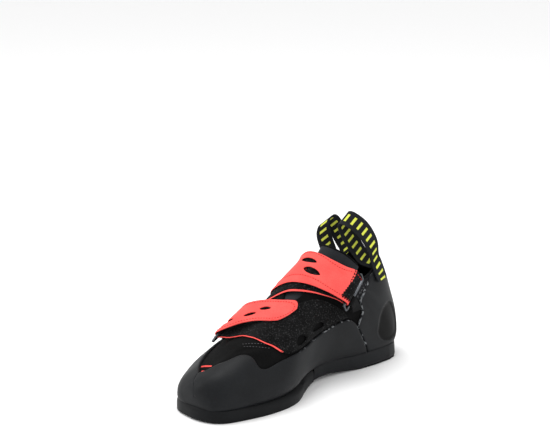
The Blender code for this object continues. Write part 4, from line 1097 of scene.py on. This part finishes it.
def strap_outline(length, inset=0.0, corner=0.0):
    """The outline of a strap in (walked, across), with its free end's corners rounded."""
    side = inset / STRAP_WIDTH
    run = np.linspace(inset, length - inset - corner, 110)
    ends = np.linspace(side, 1 - side, 34)
    line = [(w, side) for w in run]
    for v in ends:
        bulge = corner * math.sqrt(max(0.0, 1 - abs(2 * (v - 0.5) / (1 - 2 * side)) ** END_SQUARE))
        line.append((length - inset - corner + bulge, float(v)))
    line += [(w, 1 - side) for w in run[::-1]]
    line += [(inset, float(v)) for v in ends[::-1][1:-1]]
    return line


def dress_strap(name, sheet, holes, corner, zones, turned, sewn):
    """The coral layer and the loop layer of one strap, with its slots cut through."""
    length = sheet[3][-1]
    loop_end, hook_start = (length * share for share in zones)

    def place(walked, across, heights):
        return on_strap(sheet, walked, across, heights)

    pattern = cut_pattern(strap_outline(length, 0.0, corner), holes, STRAP_SPACING, STRAP_EDGE, STRAP_SCALE)
    coral = sewn_piece(name + "_coral", pattern, place, -STRAP / 2 + CORAL_LAYER, -STRAP / 2, 0.1,
                       (CORAL, CORAL, CORAL), turned, back_radius=0.5)
    facing = cut_pattern(strap_outline(length, LOOP_INSET, corner), holes, STRAP_SPACING, STRAP_EDGE,
                         STRAP_SCALE)
    loops = sewn_piece(name + "_loop", facing, place, STRAP / 2, -STRAP / 2 + CORAL_LAYER + 0.02 * MM, 0.4,
                       (LOOP_BLACK, LOOP_BLACK, LOOP_BLACK), turned)
    coral.data.materials.append(LOOP_BLACK)
    flat = coral.data.uv_layers["pattern"].data
    for face in coral.data.polygons:
        walked, across = flat[face.loop_start].uv[:] / UV_SCALE
        if walked < loop_end and (across > CORAL_SHOWS or walked < sewn):
            face.material_index = EXTRA
    loops.data.materials.append(HOOK_GREY)
    flat = loops.data.uv_layers["pattern"].data
    for face in loops.data.polygons:
        if flat[face.loop_start].uv[0] / UV_SCALE[0] > hook_start:
            face.material_index = EXTRA
    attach(coral, "root")
    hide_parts(name)
    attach(loops, "root")


lower_length = lower_sheet[3][-1]
upper_length = upper_sheet[3][-1]
LOWER_CORNER = 14 * MM
UPPER_CORNER = 5 * MM
# Slots: middle as walked length and share across, half length and half width
LOWER_SLOTS = ((116.0, .36, 4.8, 2.4), (133.5, .38, 4.8, 2.4), (142.5, .60, 4.8, 2.4))
UPPER_SLOTS = ((155.0, .50, 8.0, 3.0), (146.5, .22, 9.0, 2.2))
# Lens-shaped cut-outs of the lower strap's panel: both ends in millimetres, and half width
PANEL_CUTS = (((13.0, 8.4), (31.0, 15.0), 3.0), ((27.0, 4.8), (42.0, 9.6), 2.6))
lower_holes = [slot(*row) for row in LOWER_SLOTS] + [lens(*row, 30) for row in PANEL_CUTS]
upper_holes = [slot(*row) for row in UPPER_SLOTS]
# Shares of the length where the loop fabric stops hiding the coral and the hook fabric starts,
# and the length at the sewn end that shows no coral at all
LOWER_ZONES = (0.50, 0.84)
UPPER_ZONES = (0.55, 0.80)
LOWER_SEWN = 42 * MM
UPPER_SEWN = 5 * MM
dress_strap("lower_strap", lower_sheet, lower_holes, LOWER_CORNER, LOWER_ZONES, True, LOWER_SEWN)
dress_strap("upper_strap", upper_sheet, upper_holes, UPPER_CORNER, UPPER_ZONES, False, UPPER_SEWN)

# Coral thread runs round the visible end of each strap, and in two rows on the upper strap's
# lower layer
STITCH_INSET = .095
END_INSET = 2.8 * MM
EDGE_STITCH = (2.3 * MM, 1.5 * MM, 0.75 * MM)
LAYER_STITCH = (4.2 * MM, 1.3 * MM, 0.7 * MM)
CORAL_THREAD = textile("coral_thread", (0.34, 0.018, 0.016), (0.52, 0.035, 0.032),
                       2500, 0.0, 0.7, 0.02 * MM)


def strap_seam(sheet, walked, across, height):
    """A seam on a strap, on its coral side for a height below zero."""
    walked, across = np.broadcast_arrays(np.asarray(walked, float), np.asarray(across, float))
    return seam(on_strap(sheet, walked, across, height),
                on_strap(sheet, walked, across, height + math.copysign(MM, height)))


for name, sheet, length, corner, begin in (("lower", lower_sheet, lower_length, LOWER_CORNER, .56),
                                           ("upper", upper_sheet, upper_length, UPPER_CORNER, .50)):
    shoulder = length - END_INSET - corner
    turn = np.linspace(-math.pi / 2, math.pi / 2, 40)
    round_walked = shoulder + corner * np.cos(turn)
    round_across = 0.5 + (0.5 - STITCH_INSET) * np.sin(turn)
    run = np.linspace(length * begin, shoulder, 90)
    walked = np.concatenate([run, round_walked[1:-1], run[::-1]])
    across = np.concatenate([np.full(90, STITCH_INSET), round_across[1:-1], np.full(90, 1 - STITCH_INSET)])
    stitch(name + "_strap_stitches", [strap_seam(sheet, walked, across, -STRAP / 2 - 0.02 * MM)],
           EDGE_STITCH, CORAL_THREAD, 21)
under_seams = [strap_seam(upper_sheet, np.linspace(30 * MM, 96 * MM, 60), .13, STRAP / 2 + 0.05 * MM),
               strap_seam(upper_sheet, np.linspace(30 * MM, 60 * MM, 30), .30, STRAP / 2 + 0.05 * MM)]
stitch("upper_strap_lower_stitches", under_seams, LAYER_STITCH, CORAL_THREAD, 22)

# Three short bars of the same coral lie on the suede in the notch of the toe patch
NOTCH_BARS = (
    ((3.68, -.73), (3.63, -.88)), ((3.06, -.80), (3.09, -.92)), ((3.22, -.945), (3.60, -.975)),
)
BAR_HALF_WIDTH = 0.85
for number, bar in enumerate(NOTCH_BARS):
    a, b = (np.array(end) * PATTERN_SCALE for end in bar)
    way = (b - a) / np.linalg.norm(b - a)
    side = np.array((-way[1], way[0])) * BAR_HALF_WIDTH
    corners = [a - side, b - side, b + side, a + side, a - side]
    outline = [p + (q - p) * t for p, q in zip(corners[:-1], corners[1:]) for t in np.linspace(0, 1, 7)[:-1]]
    pattern = cut_pattern(np.array(outline) / PATTERN_SCALE, (), 1.0, (0.25,))
    strip = sewn_piece("notch_bar_%d" % (number + 1), pattern, on_foot,
                       UPPER_WALL + 0.35 * MM, UPPER_WALL - 0.3 * MM, 0.25, (CORAL, CORAL, CORAL))
    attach(strip, "root")

# Rings and anchors
# Steel wire bent into closed rings for the straps to turn round. Each is held by a folded tab
# of black webbing that is sewn to the upper beside the rand.

RING_STEEL = bpy.data.materials.new("ring_steel")
RING_STEEL.use_nodes = True
ring_shader = RING_STEEL.node_tree.nodes["Principled BSDF"]
ring_shader.inputs["Base Color"].default_value = (0.10, 0.105, 0.115, 1)
ring_shader.inputs["Metallic"].default_value = 1.0
ring_shader.inputs["Roughness"].default_value = 0.35
ANCHOR_WEB = textile("anchor_webbing", (0.002, 0.002, 0.0022), (0.009, 0.009, 0.0095),
                     1500, 0.0, 0.9, 0.15 * MM, 0.03)
for node, finish in (("lower_ring", RING_STEEL), ("upper_ring", RING_STEEL),
                     ("lower_anchor", ANCHOR_WEB), ("upper_anchor", ANCHOR_WEB)):
    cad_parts[node].data.materials.clear()
    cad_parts[node].data.materials.append(finish)

# Pull loops
# Two loops of woven tape for pulling the shoe on, sewn inside and outside the collar, dark
# grey with plain yellow bars woven in.

WEBBING = 1.4 * MM
LOOP_WIDTH = 14 * MM
LOOP_OUT = RAND_OUTSIDE + STRAP_GAP + WEBBING / 2
LOOP_IN = -LAYER_GAP - WEBBING / 2
SEWN_STATIONS = (18.1, 18.55, 19.0)
# Free part of each loop from the rim: inner side as a share of BALL_WIDTH, back as a share
# of LAST_LENGTH, up as a share of INSTEP_HEIGHT, and how far the width has turned
INNER_LOOP = (
    (.015, .004, .068, .1), (-.001, .002, .149, .35), (-.047, -.005, .244, .7),
    (-.111, -.017, .326, .92), (-.188, -.032, .383, 1), (-.264, -.039, .404, 1),
    (-.321, -.032, .375, 1), (-.310, -.023, .297, .95),
    (-.251, -.014, .206, .85), (-.178, -.006, .118, .6), (-.094, .000, .051, .3),
)
OUTER_LOOP = (
    (-.025, -.005, .060, .1), (-.054, -.010, .133, .35), (-.084, -.015, .205, .7),
    (-.111, -.015, .280, .95),
    (-.115, -.004, .340, 1), (-.104, .015, .359, 1), (-.089, .036, .322, 1), (-.059, .050, .250, .97),
    (-.016, .058, .177, .85), (.030, .060, .118, .6), (.052, .046, .070, .3),
)
INNER_TURN = Vector((-0.316, -0.571, -0.753)).normalized()
OUTER_TURN = Vector((-0.48, -0.62, -0.60)).normalized()
TAPE_COLUMNS = 7
TAPE_ROWS_FINE = 220


def tape_sheet(share, inside_share, table, turned):
    """The middle of a pull loop as a fine grid from its outside end to its inside end."""
    rim = Vector(on_foot(RIM, share))
    near = Vector(on_foot(RIM, share - 0.02))
    far = Vector(on_foot(RIM, share + 0.02))
    flat = (far - near).normalized()
    if flat.y > 0:
        flat = -flat
    side = 1 if share > 0 else -1
    half_rim = on_foot(RIM, np.linspace(0, 1, 200) * side)
    girth = float(np.linalg.norm(np.diff(half_rim, axis=0), axis=1).sum())
    spans = np.linspace(-0.5, 0.5, TAPE_COLUMNS) * LOOP_WIDTH
    forward = spans / girth * side
    rows = [on_foot(station, share + forward, LOOP_OUT) for station in SEWN_STATIONS]
    for inner, back, up, turn in table:
        middle = rim + Vector((inner * BALL_WIDTH, back * LAST_LENGTH, up * INSTEP_HEIGHT))
        across = (flat * (1 - turn) + turned * turn).normalized()
        rows.append(np.array([middle + across * w for w in spans]))
    rows += [on_foot(station, inside_share + forward, LOOP_IN) for station in SEWN_STATIONS[::-1]]
    return fine_sheet(rows, TAPE_ROWS_FINE)


# Yellow bars: one in each of these lengths, the part of it that they take and of the width
BAR_PITCH = 6.2 * MM
BAR_SHARE = 0.34
BAR_WIDTH = 0.5
YELLOW = (0.62, 0.66, 0.085)


def woven_tape(name):
    """Dark tape with plain yellow bars along its middle."""
    material = textile(name, (0.008, 0.0088, 0.0098), (0.017, 0.0185, 0.021),
                       1500, 0.0, 0.85, 0.12 * MM, 0.05)
    tree = material.node_tree
    shader = tree.nodes["Principled BSDF"]
    base = shader.inputs["Base Color"].links[0].from_socket
    pattern = add_node(tree, "ShaderNodeUVMap", uv_map="pattern").outputs["UV"]
    parts = add_node(tree, "ShaderNodeSeparateXYZ", {0: pattern}).outputs
    walk = combine(tree, "MULTIPLY", parts["X"], 1 / (UV_SCALE[0] * BAR_PITCH))
    beat = add_node(tree, "ShaderNodeMath", {0: walk}, operation="FRACT").outputs[0]
    bar = combine(tree, "LESS_THAN", beat, BAR_SHARE)
    off = combine(tree, "SUBTRACT", parts["Y"], UV_SCALE[1] / 2)
    off = add_node(tree, "ShaderNodeMath", {0: off}, operation="ABSOLUTE").outputs[0]
    middle = combine(tree, "LESS_THAN", off, UV_SCALE[1] * BAR_WIDTH / 2)
    both = combine(tree, "MULTIPLY", bar, middle)
    tree.links.new(mix_colours(tree, both, base, YELLOW), shader.inputs["Base Color"])
    return material


TAPE = woven_tape("loop_tape")
TAPE_SCALE = np.array((1000.0, LOOP_WIDTH / MM))
# Each loop with its share of the girth where it is sewn outside and inside the collar
for name, share, inside_share, table, turned in (
    ("inner_pull_loop", 0.29, 0.24, INNER_LOOP, INNER_TURN),
    ("outer_pull_loop", -0.36, -0.27, OUTER_LOOP, OUTER_TURN),
):
    sheet = tape_sheet(share, inside_share, table, turned)
    run = np.linspace(0, sheet[3][-1], 110)
    outline = [(w, 0.0) for w in run] + [(run[-1], v) for v in np.linspace(0, 1, 16)[1:-1]]
    outline += [(w, 1.0) for w in run[::-1]] + [(run[0], v) for v in np.linspace(1, 0, 16)[1:-1]]
    pattern = cut_pattern(outline, (), 1.1, (0.2,), TAPE_SCALE)
    tape = sewn_piece(name + "_tape", pattern, lambda w, v, h: on_strap(sheet, w, v, h),
                      WEBBING / 2, -WEBBING / 2, 0.3, (TAPE, TAPE, TAPE), back_radius=0.3)
    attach(tape, "root")
    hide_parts(name)

# Studio
# A pale floor, a pale surround and large soft lights, seen from the photograph's place.

FLOOR_SIZE = 16.0
floor_mesh = bpy.data.meshes.new("floor")
half = FLOOR_SIZE / 2
floor_corners = [(-half, -half, 0), (half, -half, 0), (half, half, 0), (-half, half, 0)]
floor_mesh.from_pydata(floor_corners, [], [(0, 1, 2, 3)])
floor = bpy.data.objects.new("floor", floor_mesh)
bpy.context.scene.collection.objects.link(floor)
FLOOR_WHITE = bpy.data.materials.new("floor_white")
FLOOR_WHITE.use_nodes = True
floor_shader = FLOOR_WHITE.node_tree.nodes["Principled BSDF"]
floor_shader.inputs["Base Color"].default_value = (0.93, 0.93, 0.93, 1)
floor_shader.inputs["Roughness"].default_value = 0.9
floor_mesh.materials.append(FLOOR_WHITE)
bpy.context.scene.view_settings.view_transform = "Standard"

surround = bpy.data.worlds.new("surround")
surround.use_nodes = True
surround.node_tree.nodes["Background"].inputs["Color"].default_value = (1, 1, 1, 1)
surround.node_tree.nodes["Background"].inputs["Strength"].default_value = 0.98
bpy.context.scene.world = surround

AIM = Vector((-0.0181, 0.0004, 0.1296))
CAMERA_AZIMUTH = math.radians(43)
CAMERA_RISE = math.radians(15)
CAMERA_DISTANCE = 1.27
LENS_PIXELS = 1570
PHOTO_WIDTH = 550
back = Vector((math.sin(CAMERA_AZIMUTH) * math.cos(CAMERA_RISE),
               -math.cos(CAMERA_AZIMUTH) * math.cos(CAMERA_RISE), math.sin(CAMERA_RISE)))
camera_data = bpy.data.cameras.new("camera")
camera_data.sensor_width = 36
camera_data.lens = LENS_PIXELS / PHOTO_WIDTH * camera_data.sensor_width
camera = bpy.data.objects.new("camera", camera_data)
camera.location = AIM + back * CAMERA_DISTANCE
camera.rotation_mode = "QUATERNION"
camera.rotation_quaternion = (-back).to_track_quat("-Z", "Y")
bpy.context.scene.collection.objects.link(camera)
bpy.context.scene.camera = camera


SHOE_MIDDLE = Vector((0, 0, 0.04))


def soft_light(name, place, size, power):
    """A square soft box aimed at the shoe."""
    data = bpy.data.lights.new(name, "AREA")
    data.size = size
    data.energy = power
    light = bpy.data.objects.new(name, data)
    light.location = place
    light.rotation_mode = "QUATERNION"
    light.rotation_quaternion = (SHOE_MIDDLE - Vector(place)).to_track_quat("-Z", "Y")
    bpy.context.scene.collection.objects.link(light)


soft_light("top_light", (-0.25, -0.1, 1.3), 0.7, 9)
soft_light("left_light", (-0.9, -0.9, 0.7), 0.8, 4)
soft_light("right_light", (1.2, 0.1, 0.6), 0.8, 2)
